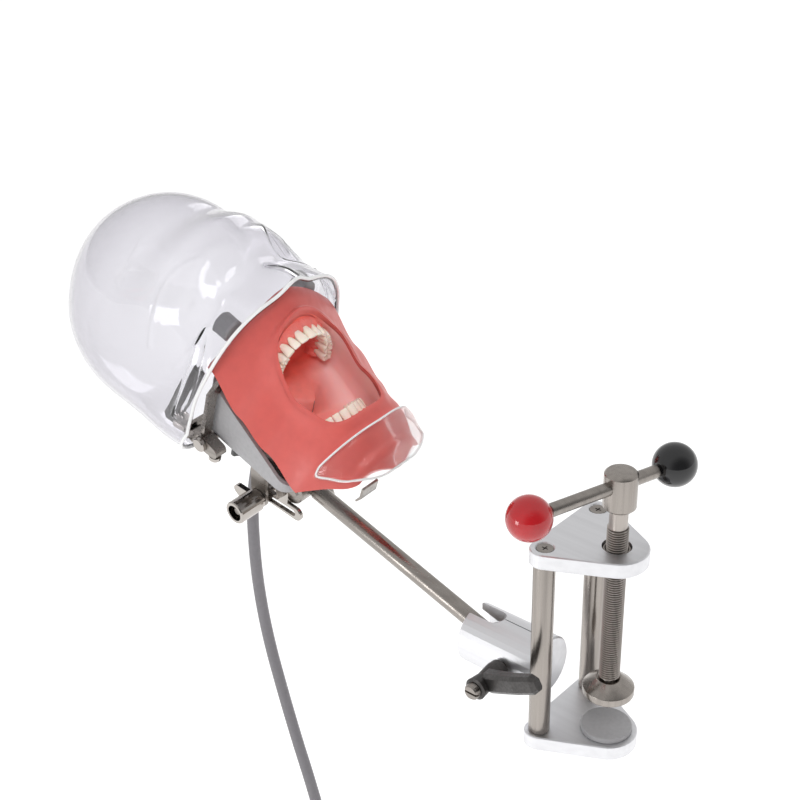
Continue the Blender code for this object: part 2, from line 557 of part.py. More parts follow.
def along_arch(curve, distance):
    """Position and tangent at a distance from the middle of the front teeth."""
    walked = 0.0
    for (x0, z0), (x1, z1) in zip(curve, curve[1:]):
        step = math.hypot(x1 - x0, z1 - z0)
        if walked + step >= distance:
            share = (distance - walked) / step
            return (x0 + (x1 - x0) * share, z0 + (z1 - z0) * share,
                    (x1 - x0) / step, (z1 - z0) / step)
        walked += step
    (x0, z0), (x1, z1) = curve[-2:]
    step = math.hypot(x1 - x0, z1 - z0)
    over = distance - walked
    return x1 + (x1 - x0) / step * over, z1 + (z1 - z0) / step * over, (x1 - x0) / step, (z1 - z0) / step


def build_arch(label, parent, gum_low, gum_high, tip, front, half_width, scale):
    """One gum ridge and its two rows of teeth; tip is the height of the biting edges."""
    curve = arch_curve(half_width, 44.0, front)
    gum = bmesh.new()
    stations = []
    total = 47.0 * scale + 5.0
    reach = [-total + 2 * total * k / 22 for k in range(23)]
    for distance in reach:
        x, z, tx, tz = along_arch(curve, abs(distance))
        side = -1 if distance < 0 else 1
        nx, nz = -tz * side, tx
        stations.append((x * side, z, nx, nz))
    rings = []
    for x, z, nx, nz in stations:
        ring = []
        for out, height in ((7.6, gum_low), (7.6, (gum_low + gum_high) / 2), (5.0, gum_high),
                            (-5.0, gum_high), (-7.6, (gum_low + gum_high) / 2), (-7.6, gum_low)):
            ring.append(gum.verts.new((x + nx * out, height, z + nz * out)))
        rings.append(ring)
    for low, high in zip(rings, rings[1:]):
        for k in range(6):
            after = (k + 1) % 6
            gum.faces.new((low[k], low[after], high[after], high[k]))
    gum.faces.new(rings[0])
    gum.faces.new(rings[-1])
    finish_object(f"{label}_gum", gum, GUM_RUBBER, parent)
    up = 1 if tip > gum_high else -1
    root = gum_high + up * GAP
    half_row = []
    distance = 0.0
    for _, width, thick in TEETH:
        for share in (0.04, 0.5, 0.96):
            x, z, tx, tz = along_arch(curve, distance + width * scale * share)
            bulge = thick / 2 * (1.0 if share == 0.5 else 0.72)
            half_row.append((x, z, -tz, tx, bulge))
        distance += width * scale
    mirrored = [(-x, z, -nx, nz, bulge) for x, z, nx, nz, bulge in reversed(half_row)]
    teeth = bmesh.new()
    rings = []
    for x, z, nx, nz, bulge in mirrored + half_row:
        ring = []
        for out, height in ((bulge, root), (bulge, (root + tip * 2) / 3), (bulge * 0.5, tip),
                            (-bulge * 0.5, tip), (-bulge, (root + tip * 2) / 3), (-bulge, root)):
            ring.append(teeth.verts.new((x + nx * out, height, z + nz * out)))
        rings.append(ring)
    for low, high in zip(rings, rings[1:]):
        for k in range(6):
            after = (k + 1) % 6
            teeth.faces.new((low[k], low[after], high[after], high[k]))
    teeth.faces.new(rings[0])
    teeth.faces.new(rings[-1])
    finish_object(f"{label}_teeth", teeth, IVORY, parent)


# ---- drain tub, spout and hose ---------------------------------------------------------
TUB_HALF = 57.0


def tub_rim(u):
    """Height of the tub's rim along the head."""
    return 49.0 + u * 0.46


def build_tub():
    drawn = bmesh.new()
    outline = hull_of_discs([(-TUB_HALF + 10, 6, 10), (TUB_HALF - 10, 6, 10),
                             (-TUB_HALF + 12, -72, 12), (TUB_HALF - 12, -72, 12)], 15)
    base = [drawn.verts.new((a, b, 3.0)) for a, b in outline]
    rim = [drawn.verts.new((a, b, tub_rim(b))) for a, b in outline]
    drawn.faces.new(base)
    drawn.faces.new(rim)
    for k in range(len(outline)):
        after = (k + 1) % len(outline)
        drawn.faces.new((base[k], base[after], rim[after], rim[k]))
    tub = finish_object("drain_tub", drawn, GREY_PLASTIC, head_frame)
    inner_outline = hull_of_discs([(-TUB_HALF + 10, 6, 7), (TUB_HALF - 10, 6, 7),
                                   (-TUB_HALF + 12, -72, 9), (TUB_HALF - 12, -72, 9)], 15)
    cut(tub, prism("tub_hollow", inner_outline, 6.0, 60.0, GREY_PLASTIC, "XY", head_frame))
    for side in (-1, 1):
        low, high = sorted((side * 43.0, side * 52.0))
        cut(tub, prism("tub_window", box_outline(low, high, -70.0, 11.0), 0.0, 8.0,
                       GREY_PLASTIC, "XY", head_frame))
        drill(tub, 3.0 + GAP, (side * 50, 0, 0), (side * 60, 0, 0))
        cut(tub, prism("tub_pin_relief", box_outline(low, side * 60 if side > 0 else high,
                                                     -4.0, 4.0) if side > 0 else
                       box_outline(side * 60, high, -4.0, 4.0), 0.0, 4.2,
                       GREY_PLASTIC, "XY", head_frame))
    drill(tub, 3.0 + GAP, (STAR_AT.x, STAR_AT.y, 0), (STAR_AT.x, STAR_AT.y, 9))
    drill(tub, 4.0, (SPOUT_AT.x, SPOUT_AT.y, 0), (SPOUT_AT.x, SPOUT_AT.y, 9))
    turned("drain_spout", [(4.0, 2.7), (8.0, 2.7), (7.0, -6.0), (7.0, -46.0), (6.0, -48.0),
                           (6.0, -58.0), (4.0, -58.0)], GREY_PLASTIC,
           (SPOUT_AT.x, SPOUT_AT.y, 0), (0, 0, 1), head_frame, 24, hollow=True)


HOSE_DIAMETER = 11.0
# Way points of the hose's middle below the spout, in world millimetres.
HOSE_POINTS = ((0.0, 378.0, 84.0), (0.5, 383.5, 62.0), (0.5, 387.0, 36.0),
               (0.5, 388.0, 8.0), (0.0, 387.0, -22.0), (-0.5, 384.0, -52.0),
               (-1.0, 379.0, -82.0), (-1.5, 372.0, -112.0), (-2.0, 363.0, -143.0),
               (-2.5, 353.0, -175.0), (-3.0, 342.0, -208.0), (-3.0, 331.0, -241.0),
               (-3.0, 321.0, -274.0), (-3.0, 313.0, -306.0), (-3.0, 307.0, -338.0),
               (-3.0, 303.0, -370.0), (-3.0, 301.0, -402.0), (-3.0, 300.0, -434.0),
               (-3.0, 300.0, -462.0))


def smooth_through(points, per_span):
    """Catmull-Rom curve through the points, as evenly shared samples."""
    samples = []
    padded = [points[0] * 2 - points[1], *points, points[-1] * 2 - points[-2]]
    for k in range(1, len(padded) - 2):
        before, start, end, after = padded[k - 1:k + 3]
        for step in range(per_span):
            t = step / per_span
            samples.append(0.5 * (2 * start + (end - before) * t
                                  + (2 * before - 5 * start + 4 * end - after) * t ** 2
                                  + (3 * start - before - 3 * end + after) * t ** 3))
    samples.append(points[-1])
    return samples


def build_hose():
    bpy.context.view_layer.update()
    to_world = head_frame.matrix_world
    tip = to_world @ (Vector((SPOUT_AT.x, SPOUT_AT.y, -58.0 - GAP)) * MM)
    out = (to_world.to_3x3() @ Vector((0, 0, -1))).normalized()
    start = [tip + out * 0.0006, tip + out * 0.012]
    way = start + [Vector(point) * MM for point in HOSE_POINTS]
    curve = bpy.data.curves.new("drain_hose", "CURVE")
    curve.dimensions = "3D"
    curve.bevel_depth = HOSE_DIAMETER / 2 * MM
    curve.bevel_resolution = 3
    curve.use_fill_caps = True
    spline = curve.splines.new("POLY")
    samples = smooth_through(way, 2)
    spline.points.add(len(samples) - 1)
    for point, place in zip(spline.points, samples):
        point.co = (*place, 1.0)
    hose = bpy.data.objects.new("drain_hose", curve)
    curve.materials.append(GREY_HOSE)
    bpy.context.collection.objects.link(hose)


# ---- head shell, mask and soft lining ------------------------------------------------------
def blend(value, *knots):
    """Smooth value through (place, height) knots."""
    if value <= knots[0][0]:
        return knots[0][1]
    for (a, low), (b, high) in zip(knots, knots[1:]):
        if value <= b:
            t = (value - a) / (b - a)
            t = t * t * (3 - 2 * t)
            return low + (high - low) * t
    return knots[-1][1]


CROWN = 216.0
SHELL_EQUATOR = 118.0
SHELL_MIDDLE = 10.0            # forward distance of the skull's long axis


def shell_point(share, angle):
    """Outer face of the skull: share 0 at the rim, 1 at the crown; angle 0 at the face.

    Each level is a rounded box (a superellipse) that narrows to the crown as a dome.
    """
    c, s = math.cos(angle), math.sin(angle)
    rim = 8.0 - 15.0 * max(0.0, c) ** 1.5 + 20.0 * max(0.0, -c)
    if share < 0.55:
        u = rim + (SHELL_EQUATOR - rim) * share / 0.55
        narrowing = 1.0
    else:
        lift = (share - 0.55) / 0.45 * math.pi / 2
        u = SHELL_EQUATOR + (CROWN - SHELL_EQUATOR) * math.sin(lift)
        narrowing = math.cos(lift)
    half = blend(u, (-10, 79.0), (40, 82.0), (122, 84.0)) * narrowing
    front = blend(u, (-10, 142.0), (30, 132.0), (60, 141.0), (85, 141.0), (122, 124.0))
    back = blend(u, (0, 42.0), (60, 58.0), (122, 70.0))
    power = blend(u, (0, 2.5), (122, 2.1))
    reach = (front - SHELL_MIDDLE) if c > 0 else (back + SHELL_MIDDLE)
    size = (abs(c) ** power + abs(s) ** power) ** (-1 / power)
    nose = 14.0 * math.exp(-((s * 79 / 12) ** 2)) * math.exp(-(((u - 8) / 24) ** 2)) * max(0.0, c)
    return half * s * size, u, SHELL_MIDDLE + reach * narrowing * c * size + nose


def surface(rows, closed_round, pole=None):
    """bmesh from rows of points; closed_round joins each row's ends; pole closes the last."""
    drawn = bmesh.new()
    made = [[drawn.verts.new(point) for point in row] for row in rows]
    count = len(made[0])
    last = count if closed_round else count - 1
    for low, high in zip(made, made[1:]):
        for k in range(last):
            after = (k + 1) % count
            drawn.faces.new((low[k], low[after], high[after], high[k]))
    if pole is not None:
        tip = drawn.verts.new(pole)
        for k in range(last):
            drawn.faces.new((made[-1][k], made[-1][(k + 1) % count], tip))
    return drawn


def thicken(piece, thickness):
    solid = piece.modifiers.new("wall", "SOLIDIFY")
    solid.thickness = thickness * MM
    solid.offset = -1.0
    solid.use_even_offset = True


def build_shell():
    shares = [k / 12 * 0.96 for k in range(13)]
    rows = [[shell_point(share, math.tau * k / 36) for k in range(36)] for share in shares]
    drawn = surface(rows, True, (0, CROWN, SHELL_MIDDLE))
    shell = finish_object("head_shell", drawn, CLEAR_PLASTIC, head_frame, 60)
    thicken(shell, 2.6)


def mask_point(x_angle, u):
    """Outer face of the mask: x_angle from the middle line, u along the head."""
    half = blend(u, (-150, 34.0), (-128, 50.0), (-95, 63.0), (-40, 67.0), (10, 67.0))
    back = blend(u, (-150, 25.0), (-98, 26.0), (-63, 44.0), (-31, 57.0), (10, 80.0))
    front = blend(u, (-150, 54.0), (-128, 72.0), (-111, 80.0), (-92, 79.0), (-62, 93.0),
                  (-28, 117.0), (8, 132.0))
    power = blend(u, (-130, 2.5), (-94, 3.2), (-62, 1.7), (-30, 1.45))
    across = abs(math.sin(x_angle))
    return half * math.sin(x_angle), u, back + (front - back) * (1 - across ** power)


def mask_outline(turn):
    """Outer edge of the mask in (angle, u); turn 0 points to the crown."""
    c, s = math.cos(turn), math.sin(turn)
    side = min(1.0, abs(s) * 1.45) ** 0.9
    angle = math.radians(86) * math.copysign(side, s)
    if side < 0.999:
        u = blend(side, (0, 5.0), (1, 9.0)) if c > 0 else \
            blend(side, (0, -144.0), (0.5, -134.0), (1, -98.0))
    else:
        u = -44.5 + 53.5 * max(-1.0, min(1.0, c / 0.725))
    return angle, u


def mouth_outline(turn):
    """Edge of the open mouth in (angle, u)."""
    c, s = math.cos(turn), math.sin(turn)
    u = -57.0 + 41.0 * math.copysign(abs(c) ** 0.8, c)
    squareness = 0.62 if c > 0 else 0.48
    return math.radians(32) * math.copysign(abs(s) ** squareness, s), u


def build_mask():
    rows = []
    count = 48
    for share in (0.0, 0.12, 0.3, 0.5, 0.7, 0.86, 1.0):
        row = []
        for k in range(count):
            turn = math.tau * k / count
            inner, outer = mouth_outline(turn), mask_outline(turn)
            angle = inner[0] + (outer[0] - inner[0]) * share
            u = inner[1] + (outer[1] - inner[1]) * share
            lip = 5.0 * math.exp(-((share - 0.03) / 0.13) ** 2)
            x, u, z = mask_point(angle, u)
            row.append((x, u, z + lip * math.cos(angle)))
        rows.append(row)
    mask = finish_object("face_mask", surface(rows, True), CORAL_RUBBER, head_frame, 60)
    thicken(mask, 3.0)


def lining_back(u):
    return blend(u, (-66, 26.0), (-8, 50.0))


def build_lining():
    """Soft cheeks and throat behind the teeth, a sheet bent round the arches."""
    rows = []
    for u in (-66, -56, -46, -36, -26, -16, -8):
        row = []
        back = lining_back(u)
        for k in range(25):
            turn = -1 + 2 * k / 24
            x = 40.0 * math.copysign(min(1.0, abs(turn) * 1.9) ** 0.8, turn)
            z = back + 22.0 * max(0.0, (abs(turn) - 0.4) / 0.6)
            row.append((x, u, z))
        rows.append(row)
    lining = finish_object("oral_lining", surface(rows, False), GUM_RUBBER, head_frame, 60)
    thicken(lining, 2.0)


def strap_point(side, u):
    """Band round the chin: side -1 to 1 sweeps 75 degrees each way, u along the head."""
    angle = math.radians(75) * side
    rear = blend(u, (-150, 28.0), (-112, 33.0))
    front = blend(u, (-150, 56.0), (-130, 75.0), (-112, 85.0))
    half = blend(u, (-150, 38.0), (-128, 50.0), (-105, 54.0))
    return half * math.sin(angle), u, rear + (front - rear) * math.cos(angle)


def build_chin_strap():
    """Clear band across the chin, with a small steel clip under it on the near side."""
    rows = []
    for share in [k / 7 for k in range(8)]:
        row = []
        for k in range(27):
            side = -1 + 2 * k / 26
            low = -144.0 + 34.0 * abs(side) ** 3
            high = -114.0 + 12.0 * abs(side) ** 1.6
            round_end = math.sqrt(max(0.02, 1 - max(0.0, (abs(side) - 0.86) / 0.14) ** 2))
            middle, half = (low + high) / 2, (high - low) / 2 * round_end
            row.append(strap_point(side, middle + half * (2 * share - 1)))
        rows.append(row)
    strap = finish_object("chin_strap", surface(rows, False), CLEAR_PLASTIC, head_frame, 60)
    thicken(strap, -2.2)
    clip = prism("chin_clip", [(-144.0, 53.0), (-146.0, 53.0), (-146.0, 42.0), (-142.0, 35.0),
                               (-140.8, 36.2), (-144.0, 42.6)], -37, -20, STAINLESS, "YZ",
                 head_frame)
    return strap, clip


def build_mask_knobs():
    for label, side in (("near", -1), ("far", 1)):
        turned(f"mask_knob_{label}", [(0, 11.0), (8.0, 11.0), (9.5, 12.5), (9.5, 25.0), (8.0, 26.5),
                                      (0, 26.5)],
               GREY_PLASTIC, (side * 40.0, 0, 101.0), (0, 1, 0), head_frame, 24)


build_clamp()
build_spindle()
build_housing()
build_lever()
build_arm()
build_neck()
build_hinges()
build_jaw_frames()
build_arch("upper", head_frame, 0.2, -21.0, -31.5, 105.0, 29.0, 1.0)
build_arch("lower", jaw_frame, -56.2, -43.0, -33.0, 101.0, 27.5, 0.92)
build_tub()
build_hose()
build_shell()
build_mask()
build_lining()
build_chin_strap()
build_mask_knobs()

for piece in bpy.data.objects:
    if any(step.type == "BOOLEAN" for step in piece.modifiers):
        piece.modifiers.new("close_seams", "WELD").merge_threshold = 2e-5
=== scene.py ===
# %% [markdown]
# # A dental phantom head on a table clamp
# A clear manikin head with a soft coral mask opens over two hinged arches of training
# teeth. A steel arm with a ball joint holds it out from a screw clamp on a table's edge,
# and a grey drain hose hangs from its back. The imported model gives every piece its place;
# this script gives the pieces their finished shapes and materials.

# %% Load the frame
import json
import math

import bmesh
import bpy
import numpy as np
from mathutils import Matrix, Vector


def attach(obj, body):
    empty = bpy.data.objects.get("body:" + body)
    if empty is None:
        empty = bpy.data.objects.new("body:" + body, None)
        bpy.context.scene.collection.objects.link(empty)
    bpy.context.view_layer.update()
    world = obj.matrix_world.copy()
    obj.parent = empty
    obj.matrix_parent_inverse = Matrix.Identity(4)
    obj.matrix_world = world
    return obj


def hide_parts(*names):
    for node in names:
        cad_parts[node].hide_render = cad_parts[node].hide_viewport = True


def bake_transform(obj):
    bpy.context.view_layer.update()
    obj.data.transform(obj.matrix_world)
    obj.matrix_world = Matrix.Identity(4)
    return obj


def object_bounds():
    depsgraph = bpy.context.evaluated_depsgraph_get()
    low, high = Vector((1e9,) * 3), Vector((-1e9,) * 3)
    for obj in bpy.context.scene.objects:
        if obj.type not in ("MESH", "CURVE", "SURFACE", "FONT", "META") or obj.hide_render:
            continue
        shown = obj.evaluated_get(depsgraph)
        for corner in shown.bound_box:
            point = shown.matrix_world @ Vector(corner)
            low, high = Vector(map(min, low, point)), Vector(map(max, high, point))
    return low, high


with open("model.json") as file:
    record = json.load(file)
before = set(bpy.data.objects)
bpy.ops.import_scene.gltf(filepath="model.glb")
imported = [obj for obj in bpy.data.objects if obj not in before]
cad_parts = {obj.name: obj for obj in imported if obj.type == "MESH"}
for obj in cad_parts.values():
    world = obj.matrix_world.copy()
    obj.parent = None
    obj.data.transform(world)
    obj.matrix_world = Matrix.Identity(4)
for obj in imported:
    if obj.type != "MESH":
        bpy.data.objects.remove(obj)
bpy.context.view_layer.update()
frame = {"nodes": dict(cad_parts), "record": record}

# %% [markdown]
# ## Working frames
# The clamp stands upright, but the arm and the head lean. Each leaning assembly is easiest
# to shape in its own frame, so three 4x4 matrices carry points from the arm, the head and
# the lower jaw into the row frame. Sizes are in millimetres until the last step.

# %% Frames of the arm, head and jaw
MM = 0.001


def turn(degrees, axis):
    """A rotation by an angle about one axis, as a 4x4 numpy array."""
    return np.array(Matrix.Rotation(math.radians(degrees), 4, axis))


def shift(x, y, z):
    """A translation as a 4x4 numpy array, in millimetres."""
    moved = np.eye(4)
    moved[:3, 3] = (x, y, z)
    return moved


ROW = np.eye(4)
ARM = shift(-14.0, 93.0, 40.3) @ turn(18.5, "X") @ turn(-6.0, "Y")
HEAD = ARM @ shift(0, 276.0, 46.6) @ turn(3.5, "X")
JAW = HEAD @ turn(31.0, "X")


def placed(points, where):
    """Points in millimetres of one frame, carried into the row frame in metres."""
    points = np.asarray(points, float)
    return (points @ where[:3, :3].T + where[:3, 3]) * MM


print("jaw hinge at", placed([[0, 0, 0]], HEAD).round(4))

# %% [markdown]
# ## Camera
# A 65 mm lens looks down at the unit from the side of its lever. The camera's own axes are
# worked out from an azimuth, an elevation and a slight roll.

# %% Camera
azimuth, elevation, roll = np.radians((-48.72, 27.51, -1.13))
back = np.array((math.sin(azimuth) * math.cos(elevation),
                 -math.cos(azimuth) * math.cos(elevation), math.sin(elevation)))
across = np.array((math.cos(azimuth), math.sin(azimuth), 0.0))
above = np.cross(back, across)
camera_x = across * math.cos(roll) + above * math.sin(roll)
camera_y = above * math.cos(roll) - across * math.sin(roll)
placing = np.eye(4)
placing[:3, 0], placing[:3, 1], placing[:3, 2] = camera_x, camera_y, back
placing[:3, 3] = (-0.75826, -0.46102, 0.73895)
camera_data = bpy.data.cameras.new("camera")
camera_data.lens, camera_data.sensor_width = 65.25, 36.0
camera_data.clip_end = 50.0
camera = bpy.data.objects.new("camera", camera_data)
camera.matrix_world = Matrix(placing.tolist())
bpy.context.collection.objects.link(camera)
bpy.context.scene.camera = camera
print("camera at", camera.location)

# %% [markdown]
# ## Materials
# Most finishes here are metals and mouldings whose surface is one colour with fine wear.
# Three node groups give that wear once for all of them: two for metal brushed along Z or
# along Y, one for soft mottling on rubber and plastic. The Principled BSDF stays in each material.

# %% Node groups for wear


def new_group(name, inputs):
    """An empty shader node group with float inputs and Value and Normal outputs."""
    group = bpy.data.node_groups.new(name, "ShaderNodeTree")
    for label, value in inputs:
        group.interface.new_socket(label, in_out="INPUT", socket_type="NodeSocketFloat"
                                   ).default_value = value
    group.interface.new_socket("Value", in_out="OUTPUT", socket_type="NodeSocketFloat")
    group.interface.new_socket("Normal", in_out="OUTPUT", socket_type="NodeSocketVector")
    return group


def link(tree, start, end):
    tree.links.new(start, end)


def wear_group(name, stretch, detail):
    """Noise on Object coordinates, stretched along one axis; a bump of the same noise."""
    group = new_group(name, (("Scale", 60.0), ("Low", 0.2), ("High", 0.4), ("Bump", 0.1)))
    nodes = group.nodes
    inlet, outlet = nodes.new("NodeGroupInput"), nodes.new("NodeGroupOutput")
    place = nodes.new("ShaderNodeTexCoord")
    mapping = nodes.new("ShaderNodeMapping")
    mapping.inputs["Scale"].default_value = stretch
    noise = nodes.new("ShaderNodeTexNoise")
    noise.inputs["Detail"].default_value = detail
    spread = nodes.new("ShaderNodeMapRange")
    bump = nodes.new("ShaderNodeBump")
    bump.inputs["Distance"].default_value = 0.0004
    link(group, place.outputs["Object"], mapping.inputs["Vector"])
    link(group, mapping.outputs["Vector"], noise.inputs["Vector"])
    link(group, inlet.outputs["Scale"], noise.inputs["Scale"])
    link(group, noise.outputs["Fac"], spread.inputs["Value"])
    spread.inputs["From Min"].default_value = 0.3
    spread.inputs["From Max"].default_value = 0.7
    link(group, inlet.outputs["Low"], spread.inputs["To Min"])
    link(group, inlet.outputs["High"], spread.inputs["To Max"])
    link(group, noise.outputs["Fac"], bump.inputs["Height"])
    link(group, inlet.outputs["Bump"], bump.inputs["Strength"])
    link(group, spread.outputs["Result"], outlet.inputs["Value"])
    link(group, bump.outputs["Normal"], outlet.inputs["Normal"])
    return group


BRUSHED_Z = wear_group("brushed_along_z", (1.0, 1.0, 0.03), 4.0)
BRUSHED_Y = wear_group("brushed_along_y", (1.0, 0.03, 1.0), 4.0)
MOTTLED = wear_group("mottled", (1.0, 1.0, 1.0), 6.0)

# %% [markdown]
# A finish is then a colour, a roughness range and a wear group. The colour drifts a little
# between two shades with the same noise, because no real surface is one flat value.

# %% Finishes


def finish(name, colour, roughness, metallic=0.0, wear=MOTTLED, scale=60.0, bump=0.05,
           shade=0.9, paint=None, **sockets):
    """A Principled material whose roughness and colour drift with a wear group.

    paint is (attribute, colour) for painted light and painted shade: the colour shows where that
    attribute of the mesh is 1.
    """
    made = bpy.data.materials.new(name)
    made.use_nodes = True
    tree = made.node_tree
    shader = tree.nodes["Principled BSDF"]
    effect = tree.nodes.new("ShaderNodeGroup")
    effect.node_tree = wear
    effect.inputs["Scale"].default_value = scale
    effect.inputs["Low"].default_value = roughness[0]
    effect.inputs["High"].default_value = roughness[1]
    effect.inputs["Bump"].default_value = bump
    spread = tree.nodes.new("ShaderNodeMapRange")
    spread.inputs["From Min"].default_value = roughness[0]
    spread.inputs["From Max"].default_value = roughness[1]
    mix = tree.nodes.new("ShaderNodeMix")
    mix.data_type = "RGBA"
    mix.inputs["A"].default_value = (*colour, 1.0)
    mix.inputs["B"].default_value = (*(c * shade for c in colour), 1.0)
    link(tree, effect.outputs["Value"], shader.inputs["Roughness"])
    link(tree, effect.outputs["Value"], spread.inputs["Value"])
    link(tree, spread.outputs["Result"], mix.inputs["Factor"])
    colour_from = mix.outputs["Result"]
    # Painted light and shade: a colour laid over the finish where the attribute is 1.
    if paint:
        held = tree.nodes.new("ShaderNodeAttribute")
        held.attribute_name = paint[0]
        over = tree.nodes.new("ShaderNodeMix")
        over.data_type = "RGBA"
        over.inputs["B"].default_value = (*paint[1], 1.0)
        link(tree, held.outputs["Fac"], over.inputs["Factor"])
        link(tree, colour_from, over.inputs["A"])
        colour_from = over.outputs["Result"]
    link(tree, colour_from, shader.inputs["Base Color"])
    link(tree, effect.outputs["Normal"], shader.inputs["Normal"])
    shader.inputs["Metallic"].default_value = metallic
    for socket, value in sockets.items():
        shader.inputs[socket.replace("_", " ")].default_value = value
    return made


SATIN_ALUMINIUM = finish("satin_aluminium", (0.82, 0.82, 0.84), (0.38, 0.46), 1.0, BRUSHED_Y,
                         220.0, 0.03, 0.95)
STEEL_UPRIGHT = finish("brushed_steel_upright", (0.40, 0.365, 0.335), (0.20, 0.34), 1.0,
                       BRUSHED_Z, 260.0, 0.10, 0.82)
STEEL = finish("brushed_steel", (0.36, 0.33, 0.305), (0.20, 0.36), 1.0, BRUSHED_Y, 260.0, 0.10,
               0.82)
CHROME = finish("polished_chrome", (0.50, 0.465, 0.435), (0.05, 0.14), 1.0, MOTTLED, 90.0, 0.03,
                0.92)
DARK_ZINC = finish("dark_cast_zinc", (0.085, 0.08, 0.078), (0.30, 0.45), 0.7, MOTTLED, 500.0,
                   0.25, 0.7)
GREY_PLASTIC = finish("grey_plastic", (0.40, 0.395, 0.405), (0.42, 0.58), 0.0, MOTTLED, 300.0,
                      0.10, 0.9)
BLACK_GLOSS = finish("black_phenolic", (0.008, 0.008, 0.009), (0.10, 0.18), 0.0, MOTTLED, 80.0,
                     0.02, 0.7, Coat_Weight=0.4)
RED_GLOSS = finish("red_phenolic", (0.50, 0.008, 0.014), (0.09, 0.16), 0.0, MOTTLED, 80.0, 0.02,
                   0.85, Coat_Weight=0.5)
CORAL = finish("coral_silicone", (0.66, 0.122, 0.106), (0.34, 0.46), 0.0, MOTTLED, 120.0, 0.05,
               0.93, Subsurface_Weight=0.12, Subsurface_Scale=0.006)
GUM = finish("gum_silicone", (0.88, 0.20, 0.17), (0.24, 0.36), 0.0, MOTTLED, 150.0, 0.06, 0.88,
             Subsurface_Weight=0.15, Subsurface_Scale=0.004)
# The pale colour on the cheeks and the floor of the mouth is painted light.
LINING = finish("lining_silicone", (0.93, 0.155, 0.115), (0.32, 0.44), 0.0, MOTTLED, 150.0, 0.06,
                0.88, paint=("pale", (1.0, 0.60, 0.58)), Subsurface_Weight=0.15,
                Subsurface_Scale=0.004)
IVORY = finish("ivory_resin", (0.97, 0.89, 0.77), (0.12, 0.22), 0.0, MOTTLED, 200.0, 0.02, 0.95,
               Subsurface_Weight=0.15, Subsurface_Scale=0.002, Coat_Weight=0.3)
HOSE_GREY = finish("grey_hose", (0.22, 0.21, 0.225), (0.40, 0.52), 0.0, MOTTLED, 240.0, 0.05,
                   0.92)
BRONZE = finish("bronze", (0.60, 0.42, 0.20), (0.30, 0.40), 1.0, MOTTLED, 200.0, 0.05)


def clear(name, tint, edge, roughness, ior=1.47, through=1.0, alpha=1.0):
    """Clear moulded plastic with real walls; its colour is painted darker where it is seen
    edge-on, as painted shade.
    """
    made = bpy.data.materials.new(name)
    made.use_nodes = True
    tree = made.node_tree
    shader = tree.nodes["Principled BSDF"]
    painted_edge_shade = tree.nodes.new("ShaderNodeLayerWeight")
    painted_edge_shade.inputs["Blend"].default_value = 0.28
    mix = tree.nodes.new("ShaderNodeMix")
    mix.data_type = "RGBA"
    mix.inputs["A"].default_value = (*tint, 1.0)
    mix.inputs["B"].default_value = (*edge, 1.0)
    link(tree, painted_edge_shade.outputs["Facing"], mix.inputs["Factor"])
    link(tree, mix.outputs["Result"], shader.inputs["Base Color"])
    shader.inputs["Roughness"].default_value = roughness
    shader.inputs["IOR"].default_value = ior
    shader.inputs["Transmission Weight"].default_value = through
    shader.inputs["Alpha"].default_value = alpha
    return made


# Painted shade: each edge colour darkens the plastic where it is seen edge-on; the shell's is a
# dark grey-blue.
CLEAR_SHELL = clear("clear_shell", (0.90, 0.895, 0.92), (0.42, 0.40, 0.45), 0.02)
CLEAR_STRAP = clear("clear_strap", (1.0, 1.0, 1.0), (0.93, 0.93, 0.94), 0.04, alpha=0.4)
# The rims are real rounded clear plastic; their near-white, mostly opaque colour is a painted
# highlight.
PAINTED_HIGHLIGHT_RIM = clear("rim_painted_highlight", (1.0, 1.0, 1.0), (0.97, 0.97, 0.98), 0.15,
                    through=0.15)
print("materials", len(bpy.data.materials))

# %% [markdown]
# ## Building surfaces
# Every new piece is a grid of points: rows in one parameter, columns in the other. One
# helper joins neighbours into quads, closes it round where asked, and sets smooth shading.
# A lathe is the special case of a profile carried round an axis.

# %% Grid surfaces


def grid_mesh(name, points, where=ROW, round_rows=False, caps=(False, False)):
    """Quads over a (rows, columns, 3) array; rows may close round, ends may close to a fan."""
    rows, columns, _ = points.shape
    vertices = placed(points.reshape(-1, 3), where)
    row, column = np.meshgrid(np.arange(rows - 1),
                              np.arange(columns if round_rows else columns - 1), indexing="ij")
    after = (column + 1) % columns
    quads = np.stack([row * columns + column, row * columns + after,
                      (row + 1) * columns + after, (row + 1) * columns + column], -1)
    faces = quads.reshape(-1, 4).tolist()
    if caps[0]:
        faces.append(list(range(columns))[::-1])
    if caps[1]:
        faces.append([(rows - 1) * columns + k for k in range(columns)])
    mesh = bpy.data.meshes.new(name)
    mesh.from_pydata(vertices.tolist(), [], faces)
    mesh.validate()
    return mesh


def piece(name, mesh, look, body=None, replaces=(), sharp=40.0):
    """An object for a mesh, with its finish, its body and the CAD nodes it stands for."""
    mesh.materials.append(look)
    mesh.shade_smooth()
    mesh.set_sharp_from_angle(angle=math.radians(sharp))
    made = bpy.data.objects.new(name, mesh)
    bpy.context.collection.objects.link(made)
    if body:
        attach(made, body)
    if replaces:
        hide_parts(*replaces)
    return made


def weld(mesh):
    """Merge doubled points, such as a lathe's poles, and turn every face outwards."""
    worked = bmesh.new()
    worked.from_mesh(mesh)
    bmesh.ops.remove_doubles(worked, verts=worked.verts, dist=2e-6)
    bmesh.ops.dissolve_degenerate(worked, edges=worked.edges, dist=1e-7)
    bmesh.ops.recalc_face_normals(worked, faces=worked.faces)
    worked.to_mesh(mesh)
    worked.free()


print("grids are joined into quads and welded")

# %% [markdown]
# A real lathe leaves a small break on every corner, which is what catches the light on
# turned metal. So each profile is softened with short chamfers before it is carried round.

# %% Lathe


def axis_frame(at, axis):
    """A frame at a point whose Z runs along a direction."""
    spun = np.array(Vector((0, 0, 1)).rotation_difference(Vector(axis).normalized())
                    .to_matrix().to_4x4())
    return shift(*at) @ spun


